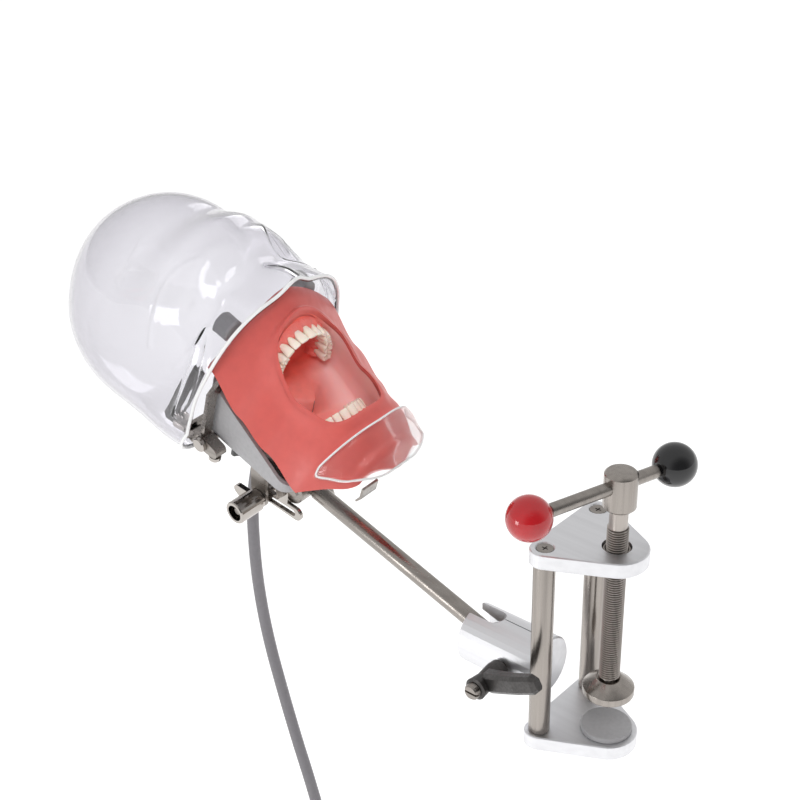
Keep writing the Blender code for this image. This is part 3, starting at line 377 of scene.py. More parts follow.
def softened(profile, radius=0.5):
    """A profile of (radius, height) corners with each outer corner cut by a short chamfer."""
    profile = [np.array(corner, float) for corner in profile]
    out = [profile[0]]
    for before, corner, after in zip(profile, profile[1:], profile[2:]):
        to_before, to_after = before - corner, after - corner
        reach = min(radius, np.linalg.norm(to_before) * 0.4, np.linalg.norm(to_after) * 0.4)
        start = corner + to_before / np.linalg.norm(to_before) * reach
        end = corner + to_after / np.linalg.norm(to_after) * reach
        out += [start, start * 0.25 + corner * 0.5 + end * 0.25, end]
    out.append(profile[-1])
    return np.array(out)


def lathe_points(profile, steps=72):
    """Profile (radius, height) carried round Z: each row is one ring."""
    angle = np.linspace(0, math.tau, steps, endpoint=False)
    radius, height = profile[:, 0:1], profile[:, 1:2]
    return np.stack([radius * np.cos(angle), radius * np.sin(angle),
                     np.repeat(height, steps, 1)], -1)


def lathe(name, profile, look, body, node, at=(0, 0, 0), axis=(0, 0, 1), where=ROW, steps=72,
          edge=0.5):
    """A turned piece from its profile, in place of its CAD node."""
    rings = lathe_points(softened(profile, edge), steps)
    mesh = grid_mesh(name, rings, where @ axis_frame(at, axis), round_rows=True)
    weld(mesh)
    return piece(name, mesh, look, body, (node,))


print("a plain washer softens to", len(softened([(3, 0), (6, 0), (6, 1), (3, 1)])), "points")


# %% [markdown]
# ## Drain hose
# The hose is one smooth tube that leaves the spout behind the head and hangs under its own weight.
# A curve object with a bevel is the simplest true tube; its points are read from a Catmull-Rom
# curve through the route.

# %% Drain hose
HOSE_ROUTE = np.array(
    [(0.0, 378.0, 84.0), (0.5, 383.5, 62.0), (0.5, 387.0, 36.0), (0.5, 388.0, 8.0),
     (0.0, 387.0, -22.0), (-0.5, 384.0, -52.0), (-1.0, 379.0, -82.0), (-1.5, 372.0, -112.0),
     (-2.0, 363.0, -143.0), (-2.5, 353.0, -175.0), (-3.0, 342.0, -208.0), (-3.0, 331.0, -241.0),
     (-3.0, 321.0, -274.0), (-3.0, 313.0, -306.0), (-3.0, 307.0, -338.0), (-3.0, 303.0, -370.0),
     (-3.0, 301.0, -402.0), (-3.0, 300.0, -434.0), (-3.0, 300.0, -462.0)]) * MM
HOSE_RADIUS = 0.0055
SPOUT_TIP = placed([[12.0, 5.0, -58.3]], HEAD)[0]
SPOUT_OUT = HEAD[:3, :3] @ np.array((0, 0, -1.0))


def catmull(points, per_span):
    """Catmull-Rom curve: each span mixes its four nearest points by cubic weights."""
    padded = np.vstack([points[0] * 2 - points[1], points, points[-1] * 2 - points[-2]])
    t = (np.arange(per_span) / per_span)[None, :, None]
    before, start, end, after = (padded[k:len(padded) - 3 + k][:, None] for k in range(4))
    spans = 0.5 * (2 * start + (end - before) * t
                   + (2 * before - 5 * start + 4 * end - after) * t ** 2
                   + (3 * start - before - 3 * end + after) * t ** 3)
    return np.vstack([spans.reshape(-1, 3), points[-1]])


hose_way = catmull(np.vstack([SPOUT_TIP + SPOUT_OUT * 0.0006, SPOUT_TIP + SPOUT_OUT * 0.012,
                              HOSE_ROUTE]), 4)
hose_curve = bpy.data.curves.new("hose", "CURVE")
hose_curve.dimensions = "3D"
hose_curve.bevel_depth = HOSE_RADIUS
hose_curve.bevel_resolution = 6
hose_curve.use_fill_caps = True
hose_line = hose_curve.splines.new("POLY")
hose_line.points.add(len(hose_way) - 1)
hose_line.points.foreach_set("co", np.c_[hose_way, np.ones(len(hose_way))].ravel())
hose_curve.materials.append(HOSE_GREY)
hose = bpy.data.objects.new("hose", hose_curve)
bpy.context.collection.objects.link(hose)
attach(hose, "head")
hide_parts("drain_hose")

# %% [markdown]
# ## Soft mask
# The mask is a wedge-shaped sheet of silicone with a wide mouth. It is laid out in polar
# fashion: one parameter runs round the mouth, the other from the lip out to the free edge.
# Each level across the head is a rounded wedge, so the surface is a function of the angle
# from the middle line and the distance along the head.

# %% Shared profiles along the head


def eased(at, *knots):
    """A value through (place, height) knots, with a smooth step between neighbours."""
    places, heights = (np.array(column, float) for column in zip(*knots))
    at = np.clip(np.asarray(at, float), places[0], places[-1])
    step = np.clip(np.searchsorted(places, at, side="right") - 1, 0, len(places) - 2)
    share = (at - places[step]) / (places[step + 1] - places[step])
    share = share * share * (3 - 2 * share)
    return heights[step] + (heights[step + 1] - heights[step]) * share


def mask_surface(angle, u):
    """Mask's outer face: back + (front - back)(1 - |x / half|^power), x = half sin(angle)."""
    half = eased(u, (-150, 34), (-128, 50), (-95, 63), (-40, 67), (10, 67))
    rear = eased(u, (-150, 25), (-98, 26), (-63, 44), (-31, 57), (10, 80))
    front = eased(u, (-150, 54), (-128, 72), (-111, 80), (-92, 79), (-62, 93), (-28, 117),
                  (8, 132))
    power = eased(u, (-130, 2.5), (-94, 3.2), (-62, 1.7), (-30, 1.45))
    side = np.sin(angle)
    return np.stack([half * side, u, rear + (front - rear) * (1 - np.abs(side) ** power)], -1)


def mask_edge(turned):
    """Free edge of the mask as (angle, u); turned is 0 at the crown side."""
    c, s = np.cos(turned), np.sin(turned)
    side = np.minimum(1.0, np.abs(s) * 1.45) ** 0.9
    level = np.where(c > 0, eased(side, (0, 5), (1, 9)),
                     eased(side, (0, -144), (0.5, -134), (1, -98)))
    straight = -44.5 + 53.5 * np.clip(c / 0.725, -1, 1)
    return math.radians(86) * np.sign(s) * side, np.where(side < 0.999, level, straight)


def mouth_edge(turned):
    """Rim of the open mouth as (angle, u)."""
    c, s = np.cos(turned), np.sin(turned)
    u = -57.0 + 41.0 * np.sign(c) * np.abs(c) ** 0.8
    squareness = np.where(c > 0, 0.62, 0.48)
    return math.radians(32) * np.sign(s) * np.abs(s) ** squareness, u


# %% Face mask
MASK_WALL, LIP_HEIGHT, ROLL_DEPTH = 2.8, 5.5, 9.0
round_mouth = np.linspace(0, math.tau, 240, endpoint=False)[None, :]
outwards = np.linspace(0, 1, 56)[:, None]
mouth_angle, mouth_u = mouth_edge(round_mouth)
edge_angle, edge_u = mask_edge(round_mouth)
angle = mouth_angle + (edge_angle - mouth_angle) * outwards
level = mouth_u + (edge_u - mouth_u) * outwards
mask_points = mask_surface(angle, level)
lip = (LIP_HEIGHT * np.exp(-((outwards - 0.04) / 0.12) ** 2)
       * (0.75 + 0.25 * np.abs(np.cos(round_mouth))))
mask_points[..., 2] += lip * np.cos(angle)
inner = mask_points[0:1].copy()
roll_in = []
for share in (1.0, 0.66, 0.33):
    rolled = inner.copy()
    rolled[..., 2] -= ROLL_DEPTH * share
    rolled[..., 0] *= 1 + 0.05 * share
    roll_in.append(rolled)
mask_points = np.concatenate([*roll_in, mask_points])
mask = piece("mask", grid_mesh("mask", mask_points, HEAD, round_rows=True), CORAL,
             None, (), 60)
weld(mask.data)


def walled(made, thickness, offset=-1.0, even=False):
    """A live Solidify wall in millimetres, inwards by default; even suits rigid shells only."""
    wall = made.modifiers.new("wall", "SOLIDIFY")
    wall.thickness = thickness * MM
    wall.offset = offset
    wall.use_even_offset = even
    return made


def faced(made, direction):
    """Turn an open sheet's faces so that most of them look along a direction."""
    mesh = made.data
    normals = np.zeros(len(mesh.polygons) * 3)
    mesh.polygons.foreach_get("normal", normals)
    if (normals.reshape(-1, 3) @ direction).sum() < 0:
        mesh.flip_normals()
    return made


FACE_OUT = HEAD[:3, :3] @ np.array((0, 0, 1.0))
walled(faced(mask, FACE_OUT), MASK_WALL)
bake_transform(mask)
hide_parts("face_mask")
print("mask", len(mask.data.polygons), "faces")

# %% [markdown]
# ## Inside of the mouth
# Behind the lips a soft lining makes cheeks, palate and throat in one bag. It starts on the
# mouth's rim, bulges round the arches and closes at the back, so nothing shows through.

# %% Oral lining
depth = np.linspace(0, 1, 40)[:, None]
rim = mask_surface(mouth_angle, mouth_u)
rim_x, rim_u, rim_f = rim[..., 0], rim[..., 1], rim[..., 2]
bulge = np.sin(np.minimum(depth * 1.6, 1.0) * math.pi / 2)
closing = np.clip((depth - 0.72) / 0.28, 0, 1)
shrink = np.sqrt(1 - closing ** 2 * 0.9999)
wide = rim_x + np.sign(rim_x) * np.minimum(np.abs(rim_x) / 20, 1) * 7.0 * bulge
tall = rim_u + np.where(rim_u > -54, 5.0, -3.0) * bulge * np.abs(np.cos(round_mouth))
back_f = eased(rim_u, (-92, 30), (-60, 30), (-17, 50))
lining_points = np.stack([
    wide * shrink, -50.0 + (tall + 50.0) * shrink,
    (rim_f - 1.0) + (back_f - (rim_f - 1.0)) * np.minimum(depth / 0.85, 1) ** 0.8], -1)
lining = piece("lining", grid_mesh("lining", lining_points, HEAD, round_rows=True), LINING,
               None, (), 60)
weld(lining.data)


def painted(made, name, where, value):
    """Store a float attribute computed from the vertices' places in a frame, in millimetres."""
    flat = np.zeros(len(made.data.vertices) * 3)
    made.data.vertices.foreach_get("co", flat)
    local = (flat.reshape(-1, 3) / MM - where[:3, 3]) @ where[:3, :3]
    made.data.attributes.new(name, "FLOAT", "POINT").data.foreach_set("value", value(local))


def painted_cheek_light(local):
    """Painted light: 1 on the cheeks and the floor of the mouth, where the lining is painted pale
    as if lit, 0 on the palate.
    """
    low = np.clip((-14 - local[:, 1]) / 14, 0, 1)
    wide = np.clip((np.abs(local[:, 0]) - 12) / 22, 0, 1)
    return np.clip(low * (0.25 + 0.75 * wide), 0, 1)


# Painted light: mark the cheeks and the floor of the mouth to be painted pale, as if lit.
painted(lining, "pale", HEAD, painted_cheek_light)
faced(lining, FACE_OUT)
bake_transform(lining)
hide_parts("oral_lining")
print("lining", len(lining.data.polygons), "faces")

# %% [markdown]
# ## Gums and teeth
# An adult arch carries seven teeth a side. Each crown is a rounded box whose width, depth
# and roundness change from the neck to the biting edge; incisors end in a thin edge and
# molars in a flat top with low cusps. All crowns of an arch are computed as one array.

# %% Arch curve
TEETH = np.array([(8.6, 7.2), (6.8, 6.6), (7.8, 8.0), (7.2, 9.2), (7.0, 9.2), (10.4, 11.0),
                  (9.8, 10.6)])
MOLAR = np.array([0, 0, 0.15, 0.7, 0.75, 1.0, 1.0])


def arch_curve(half_width, reach, front, samples=400):
    """Points of half an arch: x = w sin(a)^0.8, forward = front - reach (1 - cos a) / k."""
    a = np.linspace(0, math.radians(100), samples)
    end = 1 - math.cos(math.radians(100))
    return np.stack([half_width * np.clip(np.sin(a), 0, None) ** 0.8,
                     front - reach * (1 - np.cos(a)) / end], -1)


def along(curve, distance):
    """Position and unit tangent at distances walked along the curve."""
    walked = np.r_[0, np.cumsum(np.linalg.norm(np.diff(curve, axis=0), axis=1))]
    place = np.stack([np.interp(distance, walked, curve[:, k]) for k in (0, 1)], -1)
    inside = np.clip(distance, 0.5, walked[-1] - 0.5)
    ahead = np.stack([np.interp(inside + 0.5, walked, curve[:, k]) for k in (0, 1)], -1)
    behind = np.stack([np.interp(inside - 0.5, walked, curve[:, k]) for k in (0, 1)], -1)
    over = np.clip(distance - walked[-1], 0, None)[:, None]
    tangent = ahead - behind
    tangent /= np.linalg.norm(tangent, axis=1, keepdims=True)
    return place + tangent * over, tangent


# %% Crowns


def crowns(name, curve, gum_line, tip, scale, where):
    """All crowns of one arch: superellipse rings from below the gum to the biting edge."""
    widths = TEETH[:, 0] * scale
    centres = np.cumsum(widths) - widths / 2
    place, tangent = along(curve, centres)
    place = np.vstack([place, place * (-1, 1)])
    tangent = np.vstack([tangent, tangent * (1, -1)])
    width = np.tile(widths, 2)[:, None, None] / 2 * 0.985
    deep = np.tile(TEETH[:, 1] * scale, 2)[:, None, None] / 2
    molar = np.tile(MOLAR, 2)[:, None, None]
    h = np.r_[np.linspace(-0.25, 0.86, 12), 0.94, 0.985, 1.0, 1.0, 1.0][None, :, None]
    lid = np.r_[np.ones(12), 0.97, 0.90, 0.78, 0.45, 0.02][None, :, None]
    a = np.linspace(0, math.tau, 28, endpoint=False)[None, None, :]
    power = 0.72
    ring_s = np.sign(np.cos(a)) * np.abs(np.cos(a)) ** power
    ring_d = np.sign(np.sin(a)) * np.abs(np.sin(a)) ** power
    rise = np.clip(h, 0, 1)
    swell = 0.80 + 0.20 * np.sin(np.clip(rise * 1.25, 0, 1) * math.pi / 2)
    blade = 1.0 - 0.68 * rise ** 1.4
    block = 0.86 + 0.14 * np.sin(rise * math.pi)
    s = width * swell * ring_s * lid
    d = deep * (blade * (1 - molar) + block * molar) * ring_d * lid
    d = d + deep * 0.30 * rise * (1 - molar)
    top = (1 - lid) * 0.16 * molar + molar * 0.05 * np.cos(4 * a) * (lid > 0.3) * (lid < 0.95)
    high = gum_line + (tip - gum_line) * (h - top)
    x = place[:, 0, None, None] + tangent[:, 0, None, None] * s
    z = place[:, 1, None, None] + tangent[:, 1, None, None] * s
    normal = np.stack([-tangent[:, 1], tangent[:, 0]], -1)
    outward = np.where((normal * (place - (0, 60))).sum(1) < 0, -1, 1)[:, None] * normal
    x = x + outward[:, 0, None, None] * d
    z = z + outward[:, 1, None, None] * d
    points = np.stack([x, np.broadcast_to(high, x.shape), z], -1)
    meshes = [grid_mesh(f"{name}_{k}", tooth, where, round_rows=True, caps=(True, True))
              for k, tooth in enumerate(points)]
    return meshes


def gathered(name, meshes):
    """Several meshes in the same frame as one mesh, by stacking their arrays."""
    vertices, faces, start = [], [], 0
    for mesh in meshes:
        flat = np.zeros(len(mesh.vertices) * 3)
        mesh.vertices.foreach_get("co", flat)
        vertices.append(flat.reshape(-1, 3))
        faces += [[start + index for index in polygon.vertices] for polygon in mesh.polygons]
        start += len(mesh.vertices)
        bpy.data.meshes.remove(mesh)
    joined = bpy.data.meshes.new(name)
    joined.from_pydata(np.vstack(vertices).tolist(), [], faces)
    weld(joined)
    return joined


def gum_ridge(name, curve, low, high, scale, where):
    """Ridge along the arch: a half-round section whose crest dips at each tooth's middle."""
    length = (TEETH[:, 0] * scale).sum()
    distance = np.linspace(-length - 6, length + 6, 220)
    place, tangent = along(curve, np.abs(distance))
    sign = np.where(distance < 0, -1, 1)
    place[:, 0] *= sign
    tangent[:, 1] *= sign
    normal = np.stack([-tangent[:, 1], tangent[:, 0]], -1)
    between = np.r_[0, np.cumsum(TEETH[:, 0] * scale)]
    nearest = np.abs(np.abs(distance)[:, None] - between[None, :]).min(1)
    papilla = np.exp(-(nearest / 1.6) ** 2)
    a = np.linspace(0, math.pi, 25)[None, :]
    ends = np.clip((length + 6 - np.abs(distance)) / 5, 0.05, 1)[:, None] ** 0.5
    out = 7.6 * ends * np.sign(np.cos(a)) * np.abs(np.cos(a)) ** 0.7
    root = 1.0 * np.exp(-((np.cos(a) - 0.75) / 0.3) ** 2) * (1 - papilla[:, None])
    up = low + (high - low) * (0.97 + 0.13 * papilla[:, None]) * np.sin(a) ** 0.55 * ends
    out = out + root
    points = np.stack([place[:, 0:1] + normal[:, 0:1] * out,
                       np.broadcast_to(up, out.shape), place[:, 1:2] + normal[:, 1:2] * out], -1)
    mesh = grid_mesh(name, points, where, caps=(False, False))
    weld(mesh)
    return mesh


ARCHES = (("upper", "head", HEAD, 0.2, -21.0, -31.5, 105.0, 29.0, 1.0),
          ("lower", "jaw", JAW, -56.2, -43.0, -33.0, 101.0, 27.5, 0.92))
for label, body, where, base, crest, tip, front, half_width, scale in ARCHES:
    curve = arch_curve(half_width, 44.0, front)
    teeth = piece(f"{label}_crowns", gathered(f"{label}_crowns",
                                              crowns(label, curve, crest, tip, scale, where)),
                  IVORY, body, (f"{label}_teeth",), 50)
    ridge = piece(f"{label}_ridge", gum_ridge(f"{label}_ridge", curve, base, crest, scale, where),
                  GUM, body, (f"{label}_gum",), 60)
    walled(ridge, 1.2, 0.0)
    print(label, "teeth", len(teeth.data.polygons), "faces")

# %% [markdown]
# ## Rounded rims
# Clear mouldings have a thicker round rim that catches the light. It is a thin tube along the
# closed outline of the moulding, coloured near white and mostly opaque as a painted highlight.

# %% Rounded rims


def bead(name, path, radius, look, where, body):
    """A round rim along a closed path of points: circles that stand square to the path."""
    ahead = np.roll(path, -1, 0) - np.roll(path, 1, 0)
    ahead /= np.linalg.norm(ahead, axis=1, keepdims=True)
    side_way = np.cross(ahead, (0.0, 0.3, 1.0))
    side_way /= np.linalg.norm(side_way, axis=1, keepdims=True)
    up_way = np.cross(side_way, ahead)
    a = np.linspace(0, math.tau, 10, endpoint=False)[None, :, None]
    tube = path[:, None] + radius * (np.cos(a) * side_way[:, None] + np.sin(a) * up_way[:, None])
    tube = np.concatenate([tube, tube[:1]])
    mesh = grid_mesh(name, tube, where, round_rows=True)
    weld(mesh)
    return piece(name, mesh, look, body, (), 80)


print("rims are tubes of", 10, "sides")


# %% [markdown]
# ## Clear head shell
# The skull is blown or moulded in clear plastic about 2.6 mm thick. Each level is a superellipse
# that rounds off into a dome at the crown, with a brow, two eye sockets, a nose and ear reliefs
# pressed into it. A real wall matters: light bends at both faces and the rim shows dark and bright
# lines. The dark lines are partly painted shade in the material, and the bright rim line is partly
# a painted highlight on its bead.

# %% Head shell
CROWN, EQUATOR, MIDDLE, SHELL_WALL = 216.0, 118.0, 10.0, 2.6


def shell_surface(share, angle):
    """Superellipse levels from rim to crown; features are Gaussians in place."""
    c, s = np.cos(angle), np.sin(angle)
    face, rear = np.clip(c, 0, None), np.clip(-c, 0, None)
    rim = 8.0 - 15.0 * face ** 1.5 + 20.0 * rear
    lift = np.clip((share - 0.55) / 0.45, 0, 1) * math.pi / 2
    u = np.where(share < 0.55, rim + (EQUATOR - rim) * share / 0.55,
                 EQUATOR + (CROWN - EQUATOR) * np.sin(lift))
    narrowing = np.where(share < 0.55, 1.0, np.cos(lift))
    half = eased(u, (-10, 79), (40, 82), (122, 84)) * narrowing
    front = eased(u, (-10, 142), (30, 132), (60, 141), (85, 141), (122, 124))
    rearward = eased(u, (0, 42), (60, 58), (122, 70))
    power = eased(u, (0, 2.5), (122, 2.1))
    reach = np.where(c > 0, front - MIDDLE, rearward + MIDDLE)
    size = (np.abs(c) ** power + np.abs(s) ** power) ** (-1 / power)
    x = half * s * size
    nose = 14 * np.exp(-((s * 79 / 12) ** 2) - ((u - 8) / 24) ** 2) * face
    eye = -6 * np.exp(-(((np.abs(x) - 32) / 15) ** 2) - ((u - 40) / 12) ** 2) * face
    brow = 3 * np.exp(-(((np.abs(x) - 28) / 22) ** 2) - ((u - 64) / 9) ** 2) * face
    f = MIDDLE + reach * narrowing * c * size + nose + eye + brow
    leaf = np.clip((f - 62) / 46, -1, 1)
    spine = 14 + 10 * leaf ** 2
    ear = 3.6 * np.exp(-(((u - spine) / (9.5 * np.sqrt(1.02 - leaf ** 2))) ** 2) ** 2)
    ear -= 2.4 * np.exp(-(((u - spine) / (4.5 * np.sqrt(1.02 - leaf ** 2))) ** 2))
    ear *= (np.abs(leaf) < 0.999) * np.abs(s)
    temple = np.hypot(np.abs(x) - 56, u - 50)
    dimple = 0.7 * np.exp(-((temple - 27) / 2.0) ** 2) - 2.0 * np.exp(-((temple / 4) ** 2))
    push = (ear + dimple * (f > 60)) / np.hypot(s, c * 0.7)
    return np.stack([x + push * s, u, f + push * c * 0.7], -1)


shell_share = np.r_[np.linspace(0, 0.55, 70), np.linspace(0.56, 0.99, 60), 0.9999][:, None]
shell_angle = np.linspace(0, math.tau, 288, endpoint=False)[None, :]
shell_points = shell_surface(shell_share, shell_angle)
shell = piece("shell", grid_mesh("shell", shell_points, HEAD, round_rows=True,
                                 caps=(False, True)), CLEAR_SHELL, "head", ("head_shell",),
              60)
weld(shell.data)
walled(shell, SHELL_WALL, even=True)
rim_path = shell_surface(np.zeros((1, 1)), shell_angle)[0]
# The shell's rim bead is coloured near white as a painted highlight.
bead("shell_rim", rim_path + (0, 0.5, 0), 1.5, PAINTED_HIGHLIGHT_RIM, HEAD, "head")
print("shell", len(shell.data.polygons), "faces")

# %% [markdown]
# ## Chin strap
# A clear band clips over the chin. It follows the mask a few millimetres out, has rounded ends and
# a raised bead along its edge that catches the light; the bead's near-white colour is a painted
# highlight.

# %% Chin strap
side = np.linspace(-1, 1, 140)[None, :]
height = np.linspace(0, 1, 26)[:, None]
low = -144.0 + 34.0 * np.abs(side) ** 3
high = -114.0 + 12.0 * np.abs(side) ** 1.6
round_end = np.sqrt(np.clip(1 - np.clip((np.abs(side) - 0.86) / 0.14, 0, 1) ** 2, 0.02, 1))


def strap_surface(side, u):
    """Band round the chin: x = half sin(a), forward = rear + (front - rear) cos(a)."""
    a = math.radians(75) * side
    half = eased(u, (-150, 38), (-128, 50), (-105, 54))
    rear = eased(u, (-150, 28), (-112, 33))
    front = eased(u, (-150, 56), (-130, 75), (-112, 85))
    return np.stack([half * np.sin(a), u, rear + (front - rear) * np.cos(a)], -1)


strap_u = (low + high) / 2 + (high - low) / 2 * round_end * (2 * height - 1)
strap_points = strap_surface(side * np.ones_like(height), strap_u)
strap = piece("strap", grid_mesh("strap", strap_points, HEAD), CLEAR_STRAP, None, (), 60)
walled(faced(strap, FACE_OUT), 2.2, 1.0)
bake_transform(strap)
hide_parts("chin_strap")
print("strap", len(strap.data.polygons), "faces")

# %% Bead round the strap
outline = np.concatenate([strap_points[0, :], strap_points[1:-1, -1], strap_points[-1, ::-1],
                          strap_points[-2:0:-1, 0]])
# The strap's bead is coloured near white as a painted highlight.
strap_bead = bead("strap_bead", outline + (0, 0, 1.0), 0.9, PAINTED_HIGHLIGHT_RIM, HEAD, None)
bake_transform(strap_bead)
print("bead", len(strap_bead.data.polygons), "faces")

# %% [markdown]
# ## Chin clip
# A small bent steel tab sits under the strap. It is a profile swept straight across.

# %% Chin clip
clip_profile = np.array([(-139.0, 53), (-141.0, 53), (-141.0, 42), (-137.0, 35), (-135.8, 36.2),
                         (-139.0, 42.6)])
clip_across = np.linspace(-37, -20, 6)[:, None]
clip_points = np.stack([clip_across * np.ones(6), np.ones_like(clip_across) * clip_profile[:, 0],
                        np.ones_like(clip_across) * clip_profile[:, 1]], -1)
clip_mesh = grid_mesh("clip", clip_points, HEAD, round_rows=True, caps=(True, True))
weld(clip_mesh)
clip = piece("clip", clip_mesh, STEEL, None, ("chin_clip",), 30)
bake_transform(clip)
print("clip", len(clip_mesh.polygons), "faces")

# %% [markdown]
# ## Turned metal and knobs
# Posts, rod, caps, knobs and pads are all made on a lathe in reality, and so they are here:
# a profile of radius against height, with every corner eased by a small chamfer that holds
# a highlight. The spindle's thread is a helical groove cut into a finely divided cylinder.

# %% Clamp
for name, x in (("post_near", -34.0), ("post_far", 34.0)):
    lathe(f"{name}_turned", [(0, -3.7), (8.25, -3.7), (8.25, 149.2), (0, 149.2)], STEEL_UPRIGHT,
          "clamp", name, (x, 39.0, 0))
lathe("cap_turned", [(0, 197.8), (7.2, 197.8), (7.2, 194.5), (10.5, 194.5), (12.3, 196.3),
                     (12.3, 222.5), (10.3, 224.5), (0, 224.5)], STEEL_UPRIGHT, "spindle",
      "spindle_cap")
lathe("foot_turned", [(0, 35.4), (6.2, 35.4), (6.2, 42.5), (8.2, 44.6), (9.8, 44.6),
                      (19.6, 37.0), (19.6, 31.3), (18.6, 30.3), (0, 30.3)], STEEL_UPRIGHT,
      "foot", "foot_pad", steps=96)
print("turned: two posts, a cap and a foot")

# %% Spindle thread
THREAD_PITCH, THREAD_RADIUS, THREAD_DEPTH = 2.0, 8.0, 1.3
thread_z = np.linspace(46.0, 178.5, 801)[:, None]
thread_a = np.linspace(0, math.tau, 48, endpoint=False)[None, :]
phase = (thread_z / THREAD_PITCH - thread_a / math.tau) % 1.0
groove = 1 - np.abs(2 * phase - 1)
thread_r = THREAD_RADIUS - THREAD_DEPTH * np.clip(groove * 1.3 - 0.15, 0, 1)
thread = np.stack([thread_r * np.cos(thread_a), thread_r * np.sin(thread_a),
                   np.broadcast_to(thread_z, thread_r.shape)], -1)
ends = [lathe_points(np.array([corner], float), 48)
        for corner in ((0.001, 36.0), (4.2, 36.0), (5.6, 38.0), (5.6, 44.0), (6.9, 45.6))]
tops = [lathe_points(np.array([corner], float), 48)
        for corner in ((6.9, 179.2), (6.9, 197.5), (0.001, 197.5))]
spindle_mesh = grid_mesh("spindle_thread", np.concatenate([*ends, thread, *tops]),
                         round_rows=True)
weld(spindle_mesh)
# The dark colour in the roots of the thread is painted shade.
THREADED = finish("threaded_steel", (0.52, 0.475, 0.44), (0.24, 0.36), 0.9, BRUSHED_Z, 260.0,
                  0.04, 0.85, paint=("groove", (0.13, 0.115, 0.105)))
spindle = piece("spindle_thread", spindle_mesh, THREADED, "spindle", ("spindle_screw",),
                30)


def painted_groove_shade(local):
    """Painted shade: 1 at the root of the thread, where the steel is painted dark as if shaded, 0
    on its crests and on the plain ends.
    """
    deep = np.clip((7.75 - np.hypot(local[:, 0], local[:, 1])) / 0.7, 0, 1)
    return deep * (local[:, 2] > 45.8) * (local[:, 2] < 178.7)


# Painted shade: mark the roots of the thread to be painted dark.
painted(spindle, "groove", ROW, painted_groove_shade)
print("thread", len(spindle_mesh.polygons), "faces")

# %% Tommy bar and ball knobs
BAR_HEIGHT, KNOB_RADIUS = 213.5, 16.5
bar_angle = math.radians(-17.0)
bar_along = (math.cos(bar_angle), math.sin(bar_angle), 0.0)
lathe("bar_turned", [(0, -74), (3.0, -74), (3.0, -64.1), (5.0, -62.5), (5.0, 32.5), (3.0, 34.1),
                     (3.0, 44), (0, 44)], STEEL, "tommy_bar", "tommy_bar", (0, 0, BAR_HEIGHT),
      bar_along)
swing = np.radians(np.linspace(0, 160.2, 60))
ball = np.stack([KNOB_RADIUS * np.sin(swing), -KNOB_RADIUS * np.cos(swing)], -1)
ball = np.vstack([ball, [(5.3, 15.5), (3.3, 15.5), (3.3, 5.0), (0, 5.0)]])
for name, look, slot_name, distance, inward in (
        ("ball_knob_red", RED_GLOSS, "red_plastic", -80.0, 1),
        ("ball_knob_black", BLACK_GLOSS, "black_plastic", 50.0, -1)):
    at = np.array((0, 0, BAR_HEIGHT)) + np.array(bar_along) * distance
    rings = lathe_points(ball, 96)
    mesh = grid_mesh(f"{name}_ball", rings, axis_frame(at, np.array(bar_along) * inward),
                     round_rows=True)
    weld(mesh)
    piece(f"{name}_ball", mesh, look, "tommy_bar", (name,))
print("knob faces", len(mesh.polygons))

# %% Arm
BALL_RADIUS = 16.0
lathe("rod_turned", [(0, 4.5), (4.0, 4.5), (4.0, 14.2), (6.0, 14.2), (7.2, 15.5), (7.2, 205.0),
                     (6.0, 206.0), (6.0, 214.0), (0, 214.0)], STEEL, "arm", "arm_rod",
      axis=(0, 1, 0), where=ARM)
round_ball = np.radians(np.linspace(0, 150, 50))
lathe_ball = np.vstack([np.stack([np.sin(round_ball), -np.cos(round_ball)], -1) * BALL_RADIUS,
                        [(4.3, 13.86), (4.3, 4.0), (0, 4.0)]])
ball_mesh = grid_mesh("arm_ball_turned", lathe_points(lathe_ball, 72),
                      ARM @ axis_frame((0, 0, 0), (0, 1, 0)), round_rows=True)
weld(ball_mesh)
piece("arm_ball_turned", ball_mesh, STEEL, "ball", ("arm_ball",))
print("ball faces", len(ball_mesh.polygons))

# %% [markdown]
# ## Finishes on the remaining CAD pieces
# Flat plates, screws and brackets already have their right shape in the CAD model. They
# stay where they are and only get the detailed materials.

# %% Finishes on CAD nodes
FINISH_OF_SLOT = {"satin_aluminium": SATIN_ALUMINIUM, "stainless": STEEL, "chromed": CHROME,
                  "dark_zinc": DARK_ZINC, "grey_plastic": GREY_PLASTIC,
                  "black_plastic": BLACK_GLOSS, "red_plastic": RED_GLOSS,
                  "coral_rubber": CORAL, "gum_rubber": GUM, "ivory": IVORY,
                  "clear_plastic": CLEAR_SHELL, "grey_hose": HOSE_GREY, "bronze": BRONZE}
for part in frame["record"]["subparts"]:
    node = frame["nodes"].get(part["node"])
    if node is None:
        continue
    for slot in node.material_slots:
        slot.material = FINISH_OF_SLOT[part["material_slot"]]

# %% [markdown]
# ## Floor and light
# A pale floor below the hose stands in for a white studio's backdrop. It glows a little, so
# that it stays white while the lamps are soft enough to keep the colours of the pieces.

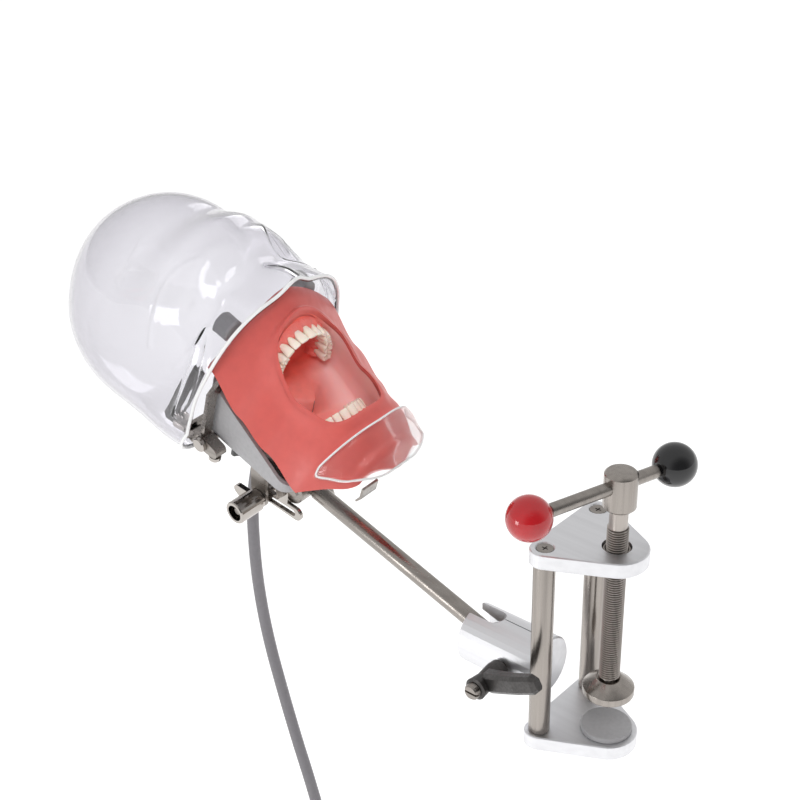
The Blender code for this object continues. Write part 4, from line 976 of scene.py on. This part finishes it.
# %% Floor
FLOOR_REACH = 60
floor_z = float(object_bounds()[0][2]) - 0.004
floor_mesh = bpy.data.meshes.new("floor")
corners = [(x * FLOOR_REACH, y * FLOOR_REACH, floor_z)
           for x, y in ((-1, -1), (1, -1), (1, 1), (-1, 1))]
floor_mesh.from_pydata(corners, [], [(0, 1, 2, 3)])
floor_look = bpy.data.materials.new("pale_floor")
floor_look.use_nodes = True
floor_shader = floor_look.node_tree.nodes["Principled BSDF"]
floor_shader.inputs["Base Color"].default_value = (0.70, 0.70, 0.70, 1.0)
floor_shader.inputs["Roughness"].default_value = 0.9
floor_shader.inputs["Emission Color"].default_value = (1.0, 1.0, 1.0, 1.0)
floor_shader.inputs["Emission Strength"].default_value = 0.62
floor_mesh.materials.append(floor_look)
floor = bpy.data.objects.new("floor", floor_mesh)
bpy.context.collection.objects.link(floor)
print("floor at", round(floor_z, 3), "m")

# %% [markdown]
# The sky is bright all round but dims behind the camera, as the unlit end of a room does.
# Metal and clear plastic then have something darker to show.

# %% Sky
world = bpy.data.worlds.new("studio")
world.use_nodes = True
bpy.context.scene.world = world
sky = world.node_tree
way = sky.nodes.new("ShaderNodeTexCoord")
facing = sky.nodes.new("ShaderNodeVectorMath")
facing.operation = "DOT_PRODUCT"
facing.inputs[1].default_value = (-0.45, -0.88, 0.12)
room = sky.nodes.new("ShaderNodeMapRange")
room.interpolation_type = "SMOOTHSTEP"
room.inputs["From Min"].default_value = 0.35
room.inputs["From Max"].default_value = 0.95
room.inputs["To Min"].default_value = 0.70
room.inputs["To Max"].default_value = 0.16
link(sky, way.outputs["Generated"], facing.inputs[0])
link(sky, facing.outputs["Value"], room.inputs["Value"])
link(sky, room.outputs["Result"], sky.nodes["Background"].inputs["Strength"])
sky.nodes["Background"].inputs["Color"].default_value = (1.0, 1.0, 1.0, 1.0)
print("sky strength", room.inputs["To Max"].default_value, "to",
      room.inputs["To Min"].default_value)

# %% [markdown]
# Two soft panels light the pieces without showing in the metal, a low strip gives the metal
# a streak, and a narrow spot reaches into the open mouth.

# %% Lamps


def facing_point(at, aim):
    """A lamp's matrix at a point, with its beam towards another point."""
    beam = Vector(aim) - Vector(at)
    return Matrix.Translation(at) @ beam.to_track_quat("-Z", "Y").to_matrix().to_4x4()


def panel(name, at, aim, size, power, shows=True):
    """A square area light that faces a point; shows says if shiny surfaces mirror it."""
    data = bpy.data.lights.new(name, "AREA")
    data.shape, data.size, data.energy = "SQUARE", size, power
    lamp = bpy.data.objects.new(name, data)
    lamp.matrix_world = facing_point(at, aim)
    lamp.visible_glossy = shows
    bpy.context.collection.objects.link(lamp)
    return lamp


MIDDLE_OF_UNIT = (0, 0.25, 0.15)
panel("key", (-0.9, -0.7, 1.5), MIDDLE_OF_UNIT, 0.7, 9.0, False)
panel("rim", (1.3, 0.9, 0.9), MIDDLE_OF_UNIT, 0.8, 5.0, False)
panel("low_strip", (-1.5, 0.6, 0.1), (0, 0.15, 0.1), 0.4, 3.0)

mouth_data = bpy.data.lights.new("mouth_light", "SPOT")
mouth_data.energy, mouth_data.shadow_soft_size = 9.0, 0.06
mouth_data.spot_size, mouth_data.spot_blend = math.radians(11), 1.0
mouth_light = bpy.data.objects.new("mouth_light", mouth_data)
mouth_light.matrix_world = facing_point((-0.62, -0.32, 0.85), placed([[0, -55, 60]], HEAD)[0])
mouth_light.visible_glossy = False
bpy.context.collection.objects.link(mouth_light)
bpy.context.scene.view_settings.view_transform = "Standard"
